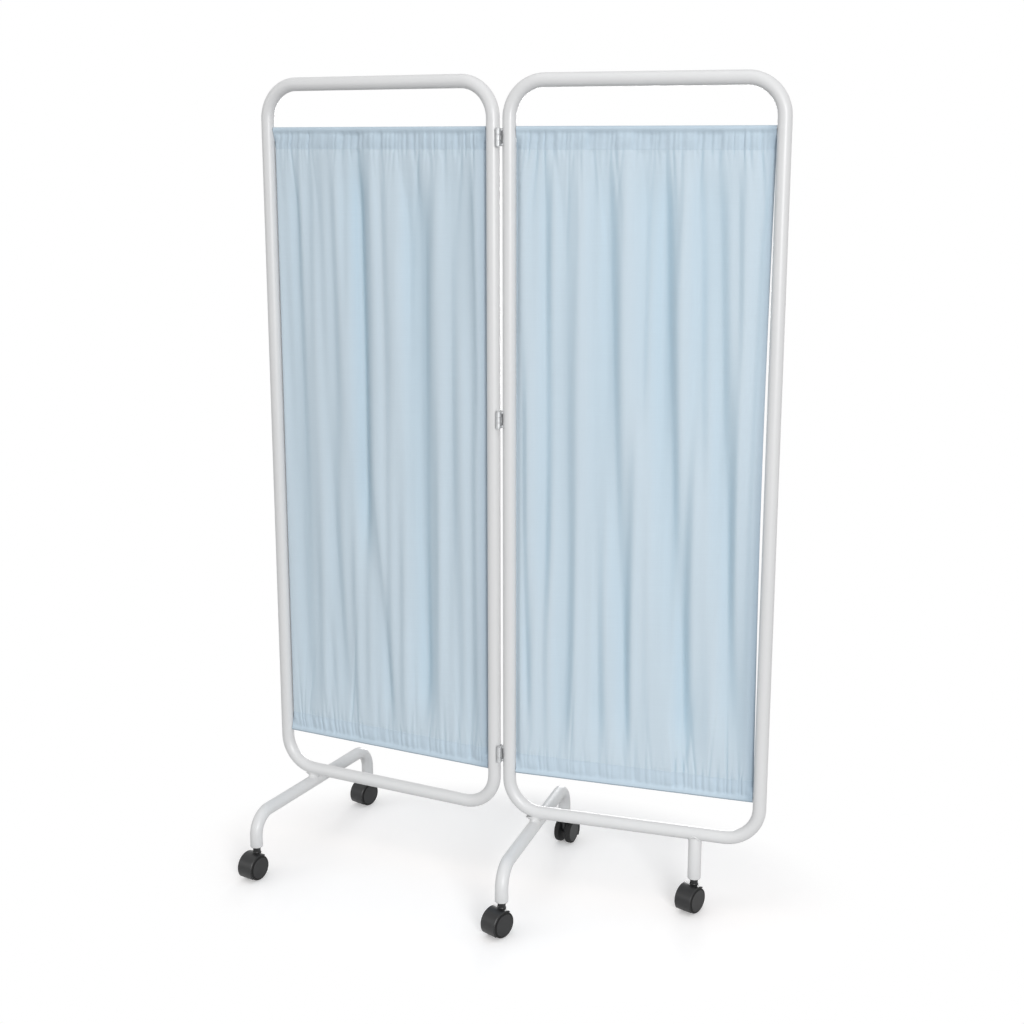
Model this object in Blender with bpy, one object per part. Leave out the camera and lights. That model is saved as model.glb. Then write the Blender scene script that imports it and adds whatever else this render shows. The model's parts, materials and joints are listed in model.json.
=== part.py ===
"""Folding ward screen on casters: two tube frames hinged together, each with a gathered curtain
stretched between two rods. Sizes are metres, +Z is up, and the part stands on z = 0 with its
origin under the middle of its box."""
import math

import bmesh
import bpy
from mathutils import Matrix, Vector

MM = 0.001

# Gaps and overruns
GAP = 0.3 * MM               # between any two separate pieces that touch
CUT = 4 * MM                 # how far a cutter runs past the face it opens

# Tube frames
TUBE_D = 25 * MM
TUBE_WALL = 1.5 * MM
PANEL_WIDTH = 487 * MM       # centre to centre of a panel's two uprights
PANEL_HEIGHT = 1375 * MM     # centre to centre of its two rails
CORNER_R = 65 * MM           # centre-line radius of the frame corners
REST_FOLD = 9                # degrees that the left panel is already folded back in the photo

# Leg bows, welded under the bottom rails, and the short third leg
RAIL_DROP = 90 * MM          # bottom rail's centre line down to the ends of the legs
LEFT_BOW_INSET = 62 * MM     # left panel's outer upright, centre line to its bow, along the rail
RIGHT_BOW_INSET = 52 * MM    # right panel's hinge-side upright, likewise
BOW_REACH = 205 * MM         # rail's centre line out to each leg of the bow
BOW_R = 42 * MM              # centre-line radius of the bow's two bends
SADDLE_THICK = 2 * MM        # weld saddle, between the rail and the bow at their closest
SADDLE_LENGTH = 34 * MM      # along the rail
SADDLE_WIDTH = 19 * MM       # along the bow
SADDLE_LIP = 6 * MM          # height of the saddle's sides up and down the two tubes
STUB_INSET = 119 * MM        # right upright's centre line to the third leg

# Curtain rods and curtains
ROD_D = 6 * MM
ROD_TOP_DROP = 83 * MM       # top rail's centre line down to the upper rod's
ROD_LOW_RISE = 81 * MM       # bottom rail's centre line up to the lower rod's
ROD_GRIP = 7 * MM            # how far a rod's end reaches into the upright
CLOTH_THICK = 1.0 * MM
CLOTH_SIDE_GAP = 2.5 * MM    # curtain's edge to the upright
CLOTH_EASE = 0.6 * MM        # rod to the inside of the pocket sewn round it
HEM_DEPTH = 36 * MM          # pocket and hem, from the rod down to the stitch line
HEM_SPACE = 1.6 * MM         # sheet to the turned hem behind it
FOLD_DEPTH = 5.0 * MM        # half the depth of the main folds
FOLD_PITCH = 44 * MM         # one main fold to the next
FOLD_DRIFT = 16 * MM         # how far the folds wander sideways on their way down
HEM_FOLD_SHARE = 0.35        # how much of its depth a fold has at the stitch lines
WAVE_SHARES = (0.62, 0.38)   # the two wave trains that make up the folds

# Hinges
HINGE_HEIGHT = 31 * MM
HINGE_PIN_D = 4 * MM
HINGE_KNUCKLE_D = 8.6 * MM
HINGE_LEAF = 2 * MM          # thickness of a leaf
HINGE_LEAF_REACH = 17 * MM   # pin's axis back to the leaf's far edge
HINGE_WELD_FRONT = 7 * MM    # weld land, ahead of the tube's centre plane
HINGE_HEAD_D = 6.4 * MM
HINGE_HEAD = 1.4 * MM        # thickness of the pin's two heads
PIN_FORWARD = 13.6 * MM      # pin's axis ahead of the frames' centre plane, over half a tube
PIN_TO_UPRIGHT = 17 * MM     # pin's axis to an upright's centre line, along the panel
HINGE_TOP_DROP = 98 * MM     # top rail's centre line down to the top hinge's middle
HINGE_MIDDLE_DROP = 605 * MM     # and down to the middle hinge's, which stands over half height
HINGE_LOW_RISE = 115 * MM    # bottom rail's centre line up to the lowest hinge's middle

# Casters
WHEEL_R = 25 * MM            # axle to floor
WHEEL_WIDTH = 12 * MM
WHEEL_GAP = 12.6 * MM        # between the twin wheels
WHEEL_EDGE = 1.6 * MM        # rounding of the tread's edges
WHEEL_SHOULDER = 2.6 * MM    # width of the flat shoulder round the cap
WHEEL_CAP_RISE = 1.6 * MM    # how far the cap stands out from the shoulder
WHEEL_HUB_R = 6 * MM         # hub that runs against the hood's web
AXLE_D = 6 * MM
CASTER_HEIGHT = 64 * MM      # floor to the end of the leg
CASTER_TRAIL = 10 * MM       # stem's axis to the axle
HOOD_CLEAR = 0.6 * MM        # wheel to the inside of the hood
HOOD_WALL = 1.8 * MM
HOOD_LOW_ANGLE = -38         # degrees, hood's lower edge below the axle on its closed side
HOOD_HIGH_ANGLE = 122        # degrees, hood's front edge past the top on its open side
WEB_THICK = 6 * MM
WEB_HUB_R = 8 * MM
BOSS_D = 11.6 * MM           # stem boss, between the wheels
BOSS_LOW = 33 * MM           # height of the boss's lower end above the floor
NECK_D = 15 * MM
STEM_D = 8 * MM
STEM_LOW = 37 * MM           # height of the stem's lower end above the floor
SOCKET_FLANGE = 0.8 * MM
SOCKET_FLANGE_D = 23 * MM
SOCKET_LENGTH = 24 * MM      # inside the leg
GRIP_D = 10.4 * MM           # grip ring at the stem's top, above the socket
GRIP_HEIGHT = 4 * MM

# How finely round things are faceted
TUBE_SIDES = 16
BORE_SIDES = 12
FRAME_BORE_SIDES = 8
BEND_STEPS = 5
WHEEL_SIDES = 20
PIN_SIDES = 10
CLOTH_COLUMNS = 32
CLOTH_ROWS = 5
POCKET_STEPS = 3

TUBE_R = TUBE_D / 2
BORE_R = TUBE_R - TUBE_WALL
FLOOR_TO_RAIL = RAIL_DROP + CASTER_HEIGHT
RAIL_TO_BOW = TUBE_D + SADDLE_THICK
STATIONS = {
    "left_front": 163, "left_back": 158, "right_front": 153, "right_back": -11, "stub": 156,
}   # each caster's turn about its stem at rest, degrees from +X


def clear_scene():
    for thing in list(bpy.data.objects):
        bpy.data.objects.remove(thing, do_unlink=True)


def material(name, colour, roughness, metallic):
    found = bpy.data.materials.get(name)
    if found:
        return found
    made = bpy.data.materials.new(name)
    made.use_nodes = True
    shader = made.node_tree.nodes["Principled BSDF"]
    shader.inputs["Base Color"].default_value = (*colour, 1)
    shader.inputs["Roughness"].default_value = roughness
    shader.inputs["Metallic"].default_value = metallic
    made.diffuse_color = (*colour, 1)
    return made


FINISHES = {
    "paint": ((0.72, 0.73, 0.74), 0.35, 0.0),
    "cloth": ((0.50, 0.64, 0.73), 0.9, 0.0),
    "steel": ((0.52, 0.53, 0.55), 0.35, 1.0),
    "black": ((0.028, 0.029, 0.031), 0.42, 0.0),
    "tread": ((0.022, 0.022, 0.024), 0.6, 0.0),
}


def empty(name, parent, place=(0, 0, 0), turn=0):
    made = bpy.data.objects.new(name, None)
    bpy.context.collection.objects.link(made)
    made.parent = parent
    made.location = place
    made.rotation_euler.z = math.radians(turn)
    return made


def make_object(name, mesh, parent, finish):
    made = bpy.data.objects.new(name, mesh)
    bpy.context.collection.objects.link(made)
    made.parent = parent
    mesh.materials.append(material(name, *FINISHES[finish]))
    mesh.shade_smooth()
    mesh.set_sharp_from_angle(angle=math.radians(35))
    return made


def mesh_from(bm, name):
    bmesh.ops.recalc_face_normals(bm, faces=bm.faces)
    mesh = bpy.data.meshes.new(name)
    bm.to_mesh(mesh)
    bm.free()
    return mesh


def tool(name, mesh, parent):
    """A cutter or an added lump: it shapes its owner and is no piece itself."""
    made = bpy.data.objects.new(name, mesh)
    bpy.context.collection.objects.link(made)
    made.parent = parent
    made.hide_render = True
    made.display_type = 'WIRE'
    return made


def combine(target, other, operation):
    step = target.modifiers.new(operation.lower(), 'BOOLEAN')
    step.operation = operation
    step.solver = 'EXACT'
    step.object = other


def ring_points(radius, sides, phase=0.0):
    step = math.tau / sides
    return [(radius * math.cos(step * (k + phase)), radius * math.sin(step * (k + phase)))
            for k in range(sides)]


def cylinder(radius, start, end, sides=TUBE_SIDES, phase=0.5):
    """A solid rod from one point to another, flats facing sideways."""
    start, end = Vector(start), Vector(end)
    along = (end - start).normalized()
    side = along.cross(Vector((0, 0, 1)))
    side = side.normalized() if side.length > 0.5 else Vector((1, 0, 0))
    up = side.cross(along)
    bm = bmesh.new()
    loops = []
    for centre in (start, end):
        loops.append([bm.verts.new(centre + side * a + up * b)
                      for a, b in ring_points(radius, sides, phase)])
    for k in range(sides):
        nxt = (k + 1) % sides
        bm.faces.new((loops[0][k], loops[0][nxt], loops[1][nxt], loops[1][k]))
    bm.faces.new(loops[0])
    bm.faces.new(loops[1])
    return mesh_from(bm, "cylinder")


def turned(profile, sides=PIN_SIDES, along='Z', phase=0.5):
    """A lathe part from (radius, height) pairs, spun about its own axis."""
    bm = bmesh.new()
    rings = []
    for radius, height in profile:
        if radius == 0:
            rings.append([bm.verts.new((0, 0, height))])
        else:
            rings.append([bm.verts.new((x, y, height))
                          for x, y in ring_points(radius, sides, phase)])
    for low, high in zip(rings, rings[1:]):
        for k in range(sides):
            nxt = (k + 1) % sides
            corners = (low[k % len(low)], low[nxt % len(low)],
                       high[nxt % len(high)], high[k % len(high)])
            seen = list(dict.fromkeys(corners))
            bm.faces.new(seen)
    for end in (rings[0], rings[-1]):
        if len(end) > 1:
            bm.faces.new(end)
    if along == 'X':
        bmesh.ops.rotate(bm, verts=bm.verts, matrix=Matrix.Rotation(math.radians(90), 3, 'Y'))
    return mesh_from(bm, "turned")


def prism(outline, low, high, along='Z'):
    """A flat outline pushed out along one axis: (x, y) up Z, or (y, z) along X."""
    bm = bmesh.new()
    if along == 'Z':
        flat = [bm.verts.new((a, b, low)) for a, b in outline]
        push = Vector((0, 0, high - low))
    else:
        flat = [bm.verts.new((low, a, b)) for a, b in outline]
        push = Vector((high - low, 0, 0))
    face = bm.faces.new(flat)
    raised = bmesh.ops.extrude_face_region(bm, geom=[face])
    moved = [v for v in raised["geom"] if isinstance(v, bmesh.types.BMVert)]
    bmesh.ops.translate(bm, verts=moved, vec=push)
    return mesh_from(bm, "prism")


def arc(centre, radius, start, end, steps):
    """Points on a circle, by angle in degrees, both ends included."""
    points = []
    for k in range(steps + 1):
        angle = math.radians(start + (end - start) * k / steps)
        points.append((centre[0] + radius * math.cos(angle), centre[1] + radius * math.sin(angle)))
    return points


def swept_tube(path, closed, flat_normal, bore_sides=BORE_SIDES):
    """A hollow tube along a flat path. The wall's outer and inner skins are swept together and
    joined by a ring at each open end."""
    bm = bmesh.new()
    normal = Vector(flat_normal)
    count = len(path)
    skins = []
    for radius, sides in ((TUBE_R, TUBE_SIDES), (BORE_R, bore_sides)):
        loops = []
        for k, point in enumerate(path):
            before = path[k - 1] if closed or k > 0 else point
            after = path[(k + 1) % count] if closed or k < count - 1 else point
            arriving = (point - before).normalized() if before != point else None
            leaving = (after - point).normalized() if after != point else None
            arriving = arriving or leaving
            leaving = leaving or arriving
            along = (arriving + leaving).normalized()
            across = normal.cross(along)
            stretch = 1 / max(along.dot(leaving), 0.5)
            loops.append([bm.verts.new(point + across * (a * stretch) + normal * b)
                          for a, b in ring_points(radius, sides, 0.5)])
        last = count if closed else count - 1
        for k in range(last):
            here, there = loops[k], loops[(k + 1) % count]
            for s in range(sides):
                t = (s + 1) % sides
                quad = (here[s], here[t], there[t], there[s])
                bm.faces.new(quad if radius == TUBE_R else quad[::-1])
        skins.append(loops)
    if not closed:
        for end in (0, -1):
            edges = []
            for loops in skins:
                ring = loops[end]
                for s, vertex in enumerate(ring):
                    edges.append(bm.edges.get((vertex, ring[(s + 1) % len(ring)])))
            bmesh.ops.bridge_loops(bm, edges=edges)
    else:
        mesh = bpy.data.meshes.new("tube")
        bm.to_mesh(mesh)
        bm.free()
        return mesh
    return mesh_from(bm, "tube")


class Panel:
    """One panel's own frame: x runs from the hinge pin out to the far upright, on the side that
    the panel lies, y = PIN_FORWARD is the frame's centre plane, and z is the floor's."""

    def __init__(self, name, side, root, turn):
        self.name = name
        self.side = side
        self.base = empty(name + "_panel_at_hinge_pin", root, turn=turn)
        self.turn = turn
        self.near = PIN_TO_UPRIGHT
        self.far = PIN_TO_UPRIGHT + PANEL_WIDTH
        self.low = FLOOR_TO_RAIL
        self.high = FLOOR_TO_RAIL + PANEL_HEIGHT

    def at(self, along, out, height):
        """A point by its distance along the panel, behind the centre plane and up."""
        return Vector((self.side * along, PIN_FORWARD + out, height))


def frame_path(panel):
    corners = (
        (panel.far - CORNER_R, panel.high - CORNER_R, 0),
        (panel.near + CORNER_R, panel.high - CORNER_R, 90),
        (panel.near + CORNER_R, panel.low + CORNER_R, 180),
        (panel.far - CORNER_R, panel.low + CORNER_R, 270),
    )
    path = []
    for x, z, start in corners:
        for along, height in arc((x, z), CORNER_R, start, start + 90, BEND_STEPS):
            path.append(panel.at(along, 0, height))
    return path


def build_frame(panel):
    mesh = swept_tube(frame_path(panel), True, (0, 1, 0), FRAME_BORE_SIDES)
    frame = make_object(panel.name + "_frame", mesh, panel.base, "paint")
    # The rods slide into holes drilled through each upright's inner wall only.
    for height in rod_heights(panel):
        for upright, inward in ((panel.near, 1), (panel.far, -1)):
            hole = cylinder(ROD_D / 2 + GAP, panel.at(upright, 0, height),
                            panel.at(upright + inward * (TUBE_R + CUT), 0, height), 8)
            combine(frame, tool(panel.name + "_rod_drill", hole, panel.base), 'DIFFERENCE')


def rod_heights(panel):
    return panel.high - ROD_TOP_DROP, panel.low + ROD_LOW_RISE


def build_rods(panel):
    for label, height in zip(("upper", "lower"), rod_heights(panel)):
        reach = TUBE_R - ROD_GRIP
        rod = cylinder(ROD_D / 2, panel.at(panel.near + reach, 0, height),
                       panel.at(panel.far - reach, 0, height), 8)
        make_object(f"{panel.name}_{label}_rod", rod, panel.base, "steel")


def cloth_profile(panel):
    """Mid-line of the curtain's section as (behind the rod, height, share of the full fold): the
    turned hem behind, over the upper rod, down the front, round the lower rod and up its hem."""
    top, bottom = rod_heights(panel)
    wrap = ROD_D / 2 + CLOTH_EASE + CLOTH_THICK / 2
    tail = HEM_SPACE - wrap
    high, low = top - HEM_DEPTH, bottom + HEM_DEPTH
    points = [(tail, high, HEM_FOLD_SHARE)]
    points += [(y, z, 0) for y, z in arc((0, top), wrap, 0, 180, POCKET_STEPS)]
    points.append((-wrap, high, HEM_FOLD_SHARE))
    for k in range(CLOTH_ROWS):
        share = (k + 1) / (CLOTH_ROWS + 1)
        swell = HEM_FOLD_SHARE + (1 - HEM_FOLD_SHARE) * math.sin(math.pi * share)
        points.append((-wrap, high + (low - high) * share, swell))
    points.append((-wrap, low, HEM_FOLD_SHARE))
    points += [(y, z, 0) for y, z in arc((0, bottom), wrap, 180, 360, POCKET_STEPS)]
    points.append((tail, low, HEM_FOLD_SHARE))
    return points


def fold_wave(along, height_share, side):
    """The main folds: two wave trains that drift sideways as they fall, so that no two folds are
    alike and some run into their neighbours half-way down."""
    drift = FOLD_DRIFT * math.sin(1.7 * height_share + side)
    first = math.sin(math.tau * (along + drift) / FOLD_PITCH)
    second = math.sin(math.tau * (along - drift * 0.6) / (FOLD_PITCH * 1.62) + 1.3 * side)
    return WAVE_SHARES[0] * first + WAVE_SHARES[1] * second


def build_cloth(panel):
    profile = cloth_profile(panel)
    top, bottom = rod_heights(panel)
    start = panel.near + TUBE_R + CLOTH_SIDE_GAP
    width = PANEL_WIDTH - TUBE_D - CLOTH_SIDE_GAP - CLOTH_SIDE_GAP
    bm = bmesh.new()
    columns = []
    for c in range(CLOTH_COLUMNS + 1):
        along = start + width * c / CLOTH_COLUMNS
        column = []
        for out, height, share in profile:
            down = (top - height) / (top - bottom)
            wave = FOLD_DEPTH * share * fold_wave(along, down, panel.side)
            column.append(bm.verts.new(panel.at(along, out + wave, height)))
        columns.append(column)
    for here, there in zip(columns, columns[1:]):
        for k in range(len(profile) - 1):
            bm.faces.new((here[k], here[k + 1], there[k + 1], there[k]))
    curtain = make_object(panel.name + "_curtain", mesh_from(bm, "curtain"), panel.base, "cloth")
    wall = curtain.modifiers.new("thickness", 'SOLIDIFY')
    wall.thickness = CLOTH_THICK
    wall.offset = 0


def bow_place(panel):
    return panel.far - LEFT_BOW_INSET if panel.side < 0 else panel.near + RIGHT_BOW_INSET


def build_bow(panel):
    along = bow_place(panel)
    bar = panel.low - RAIL_TO_BOW
    foot = panel.low - RAIL_DROP
    knee = BOW_REACH - BOW_R
    outline = [(-BOW_REACH, foot)]
    outline += arc((-knee, bar - BOW_R), BOW_R, 180, 90, BEND_STEPS)
    outline += arc((knee, bar - BOW_R), BOW_R, 90, 0, BEND_STEPS)
    outline += [(BOW_REACH, foot)]
    path = [panel.at(along, out, height) for out, height in outline]
    make_object(panel.name + "_leg_bow", swept_tube(path, False, (1, 0, 0)), panel.base, "paint")
    build_saddle(panel, along, bar)


def build_saddle(panel, along, bar):
    """Cast weld saddle: its top is hollowed to the rail and its underside to the bow."""
    high = panel.low - TUBE_R + SADDLE_LIP
    low = bar + TUBE_R - SADDLE_LIP
    half_length = SADDLE_LENGTH / 2
    half_width = SADDLE_WIDTH / 2
    trim = SADDLE_LIP
    outline = [(half_length, -half_width + trim), (half_length, half_width - trim),
               (half_length - trim, half_width), (trim - half_length, half_width),
               (-half_length, half_width - trim), (-half_length, -half_width + trim),
               (trim - half_length, -half_width), (half_length - trim, -half_width)]
    block = prism(outline, low, high)
    saddle = make_object(panel.name + "_weld_saddle", block, panel.base, "paint")
    shift = panel.at(along, 0, 0)
    block.transform(Matrix.Translation(shift))
    reach = SADDLE_LENGTH + CUT
    rail = cylinder(TUBE_R + GAP, panel.at(along - reach, 0, panel.low),
                    panel.at(along + reach, 0, panel.low))
    bow = cylinder(TUBE_R + GAP, panel.at(along, -reach, bar), panel.at(along, reach, bar))
    combine(saddle, tool(panel.name + "_saddle_rail_cut", rail, panel.base), 'DIFFERENCE')
    combine(saddle, tool(panel.name + "_saddle_bow_cut", bow, panel.base), 'DIFFERENCE')


def build_stub(panel):
    """Third leg: a short tube coped to the underside of the right panel's rail."""
    along = panel.far - STUB_INSET
    foot = panel.low - RAIL_DROP
    path = [panel.at(along, 0, foot), panel.at(along, 0, panel.low - TUBE_R / 3)]
    stub = make_object("stub_leg", swept_tube(path, False, (1, 0, 0)), panel.base, "paint")
    reach = TUBE_D + CUT
    rail = cylinder(TUBE_R + GAP, panel.at(along - reach, 0, panel.low),
                    panel.at(along + reach, 0, panel.low))
    combine(stub, tool("stub_cope", rail, panel.base), 'DIFFERENCE')


def leaf_outline(side, with_knuckle):
    """Section of a hinge leaf, hollowed to the upright it is welded to. With its knuckle it also
    curls round the pin."""
    plate_out = HINGE_KNUCKLE_D / 2
    plate_in = plate_out - HINGE_LEAF
    seat = TUBE_R + GAP
    back = HINGE_LEAF_REACH
    front = PIN_FORWARD - HINGE_WELD_FRONT

    def tube_face(y):
        return PIN_TO_UPRIGHT - math.sqrt(seat * seat - (y - PIN_FORWARD) ** 2)

    steps = 6
    rows = [back - (back - front) * k / steps for k in range(steps + 1)]
    outline = [(tube_face(y), y) for y in rows]
    if with_knuckle:
        outline += arc((0, 0), plate_out, 0, -300, 10)
    else:
        clear = plate_out + GAP + GAP
        outline += [(plate_out, clear), (plate_in, clear)]
    outline.append((plate_in, back))
    return [(side * x, y) for x, y in outline]


def hinge_heights(panel):
    return {"top": panel.high - HINGE_TOP_DROP, "middle": panel.high - HINGE_MIDDLE_DROP,
            "bottom": panel.low + HINGE_LOW_RISE}


def build_leaf(panel, label, centre):
    """The right panel's leaf has the two outer knuckles, and the left panel's the middle one."""
    half = HINGE_HEIGHT / 2
    third = HINGE_HEIGHT / 3
    plain = prism(leaf_outline(panel.side, False), centre - half, centre + half)
    leaf = make_object(f"{panel.name}_hinge_leaf_{label}", plain, panel.base, "steel")
    if panel.side > 0:
        spans = ((centre - half, centre - half + third), (centre + half - third, centre + half))
    else:
        spans = ((centre - half + third + GAP, centre + half - third - GAP),)
    for low, high in spans:
        curl = prism(leaf_outline(panel.side, True), low, high)
        combine(leaf, tool(leaf.name + "_knuckle", curl, panel.base), 'UNION')
    bore = cylinder(HINGE_PIN_D / 2 + GAP, (0, 0, centre - half - CUT), (0, 0, centre + half + CUT),
                    PIN_SIDES)
    combine(leaf, tool(leaf.name + "_pin_bore", bore, panel.base), 'DIFFERENCE')


def build_hinge_pin(panel, label, centre):
    half = HINGE_HEIGHT / 2 + GAP
    shank, head = HINGE_PIN_D / 2, HINGE_HEAD_D / 2
    crown = head - HINGE_HEAD / 2
    profile = [(crown, centre - half - HINGE_HEAD), (head, centre - half - HINGE_HEAD / 2),
               (head, centre - half), (shank, centre - half),
               (shank, centre + half), (head, centre + half),
               (head, centre + half + HINGE_HEAD / 2), (crown, centre + half + HINGE_HEAD)]
    make_object("hinge_pin_" + label, turned(profile), panel.base, "steel")


def build_socket(name, parent):
    """Plastic bush pressed into the end of a leg. Its flange covers the cut end of the tube."""
    bore = STEM_D / 2 + GAP
    sleeve = (BORE_R - GAP) * math.cos(math.pi / BORE_SIDES) - GAP
    foot, top = CASTER_HEIGHT - GAP, CASTER_HEIGHT + SOCKET_LENGTH
    flange = foot - SOCKET_FLANGE
    profile = [(bore, flange), (SOCKET_FLANGE_D / 2, flange), (SOCKET_FLANGE_D / 2, foot),
               (sleeve, foot), (sleeve, top), (bore, top)]
    mesh = turned(profile + profile[:1], BORE_SIDES)
    bm = bmesh.new()
    bm.from_mesh(mesh)
    ends = [face for face in bm.faces if len(face.verts) > 4]
    bmesh.ops.delete(bm, geom=ends, context='FACES_ONLY')
    bmesh.ops.remove_doubles(bm, verts=bm.verts, dist=GAP / 10)
    bmesh.ops.recalc_face_normals(bm, faces=bm.faces)
    bm.to_mesh(mesh)
    bm.free()
    make_object(name + "_caster_socket", mesh, parent, "black")


def build_stem(name, parent):
    """Swivel stem: its shank turns in the socket and its grip ring hooks over the socket's top."""
    shank, grip = STEM_D / 2, GRIP_D / 2
    seat = CASTER_HEIGHT + SOCKET_LENGTH + GAP
    profile = [(shank, STEM_LOW), (shank, seat), (grip, seat), (grip, seat + GRIP_HEIGHT / 2),
               (shank / 2, seat + GRIP_HEIGHT)]
    make_object(name + "_stem", turned(profile), parent, "steel")


def hood_section(radius, low, high, steps):
    return arc((CASTER_TRAIL, WHEEL_R), radius, low, high, steps)


def build_hood(name, parent):
    """Moulded hood: a fender over both treads, the web between the wheels with its axle hub, and
    the boss and neck that hold the stem."""
    inner = WHEEL_R / math.cos(math.pi / WHEEL_SIDES) + HOOD_CLEAR
    outer = inner + HOOD_WALL
    half_width = WHEEL_GAP / 2 + WHEEL_WIDTH
    fender = hood_section(outer, HOOD_LOW_ANGLE, HOOD_HIGH_ANGLE, 12)
    fender += hood_section(inner, HOOD_HIGH_ANGLE, HOOD_LOW_ANGLE, 12)
    hood = make_object(name + "_hood", prism(fender, -half_width, half_width, 'X'), parent, "black")

    rib = hood_section((inner + outer) / 2, HOOD_LOW_ANGLE, HOOD_HIGH_ANGLE, 12)
    rib += hood_section(WEB_HUB_R, HOOD_HIGH_ANGLE + 60, HOOD_LOW_ANGLE + 300, 5)
    web = prism(rib, -WEB_THICK / 2, WEB_THICK / 2, 'X')
    combine(hood, tool(name + "_web", web, parent), 'UNION')

    neck_low = WHEEL_R + inner
    neck_top = CASTER_HEIGHT - SOCKET_FLANGE - GAP - GAP
    boss = turned([(BOSS_D / 2, BOSS_LOW), (BOSS_D / 2, neck_low), (NECK_D / 2, neck_low),
                   (NECK_D / 2, neck_top - GAP), (NECK_D / 2 - GAP, neck_top)])
    combine(hood, tool(name + "_boss", boss, parent), 'UNION')

    stem_bore = cylinder(STEM_D / 2 + GAP, (0, 0, STEM_LOW - GAP), (0, 0, neck_top + CUT), PIN_SIDES)
    combine(hood, tool(name + "_stem_bore", stem_bore, parent), 'DIFFERENCE')
    axle_bore = cylinder(AXLE_D / 2 + GAP, (-half_width, CASTER_TRAIL, WHEEL_R),
                         (half_width, CASTER_TRAIL, WHEEL_R), PIN_SIDES)
    combine(hood, tool(name + "_axle_bore", axle_bore, parent), 'DIFFERENCE')


def axle_end():
    """Axle's end, inside the wheel's hub and short of its cap."""
    return WHEEL_GAP / 2 + WHEEL_WIDTH - WHEEL_CAP_RISE - WHEEL_SHOULDER


def build_axle(name, parent):
    end = axle_end() - GAP
    axle = cylinder(AXLE_D / 2, (-end, CASTER_TRAIL, WHEEL_R), (end, CASTER_TRAIL, WHEEL_R),
                    PIN_SIDES)
    make_object(name + "_axle", axle, parent, "steel")


def build_wheel(name, parent, outward):
    """One twin wheel, turned about its axle: hub, tread with rounded edges, and a flat cap that
    stands out from the tread's shoulder. Its axle hole is blind, so the cap is whole."""
    rim = WHEEL_R / math.cos(math.pi / WHEEL_SIDES)
    hub_face = WEB_THICK / 2 + GAP
    inside = WHEEL_GAP / 2
    outside = inside + WHEEL_WIDTH
    shoulder = outside - WHEEL_CAP_RISE
    cap = rim - WHEEL_EDGE - WHEEL_SHOULDER
    bore = AXLE_D / 2 + GAP
    profile = [(0, axle_end()), (bore, axle_end()), (bore, hub_face), (WHEEL_HUB_R, hub_face),
               (WHEEL_HUB_R, inside), (rim - WHEEL_EDGE, inside), (rim, inside + WHEEL_EDGE),
               (rim, shoulder - WHEEL_EDGE), (rim - WHEEL_EDGE, shoulder), (cap, shoulder),
               (cap - WHEEL_CAP_RISE / 2, outside), (0, outside)]
    mesh = turned([(r, outward * x) for r, x in profile], WHEEL_SIDES, 'X')
    wheel = make_object(name, mesh, parent, "tread")
    wheel.location = (0, CASTER_TRAIL, WHEEL_R)


def build_caster(name, panel, along, out):
    foot = panel.at(along, out, 0)
    seat = empty(name + "_socket_seat", panel.base, foot)
    build_socket(name, seat)
    swivel = empty(name + "_swivel", seat, turn=STATIONS[name] - panel.turn)
    build_stem(name, swivel)
    build_hood(name, swivel)
    build_axle(name, swivel)
    build_wheel(name + "_wheel_a", swivel, -1)
    build_wheel(name + "_wheel_b", swivel, 1)


def stand_over_origin(root):
    """Moves the whole screen so that the origin lies on the floor, under the middle of its box."""
    bpy.context.view_layer.update()
    graph = bpy.context.evaluated_depsgraph_get()
    low, high = Vector((math.inf,) * 3), Vector((-math.inf,) * 3)
    for thing in bpy.context.scene.objects:
        if thing.type != 'MESH' or thing.hide_render:
            continue
        shown = thing.evaluated_get(graph)
        for vertex in shown.data.vertices:
            place = shown.matrix_world @ vertex.co
            low = Vector(map(min, low, place))
            high = Vector(map(max, high, place))
    middle = (low + high) / 2
    root.location = (-middle.x, -middle.y, -low.z)


def build_screen():
    clear_scene()
    root = empty("screen_on_floor", None)
    right = Panel("right", 1, root, 0)
    left = Panel("left", -1, root, -REST_FOLD)
    for panel in (right, left):
        build_frame(panel)
        build_rods(panel)
        build_cloth(panel)
        build_bow(panel)
        for label, centre in hinge_heights(panel).items():
            build_leaf(panel, label, centre)
        bow = bow_place(panel)
        build_caster(panel.name + "_front", panel, bow, -BOW_REACH)
        build_caster(panel.name + "_back", panel, bow, BOW_REACH)
    for label, centre in hinge_heights(right).items():
        build_hinge_pin(right, label, centre)
    build_stub(right)
    build_caster("stub", right, right.far - STUB_INSET, 0)
    stand_over_origin(root)


build_screen()
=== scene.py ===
"""The looks of a folding ward screen: two frames of bent, powder-coated tube hinged together, each
with a gathered curtain held between two rods, on five black twin-wheel casters. Units are metres,
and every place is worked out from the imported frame."""
import json
import math
import random

import bpy
import numpy as np
from mathutils import Matrix, Vector


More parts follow.
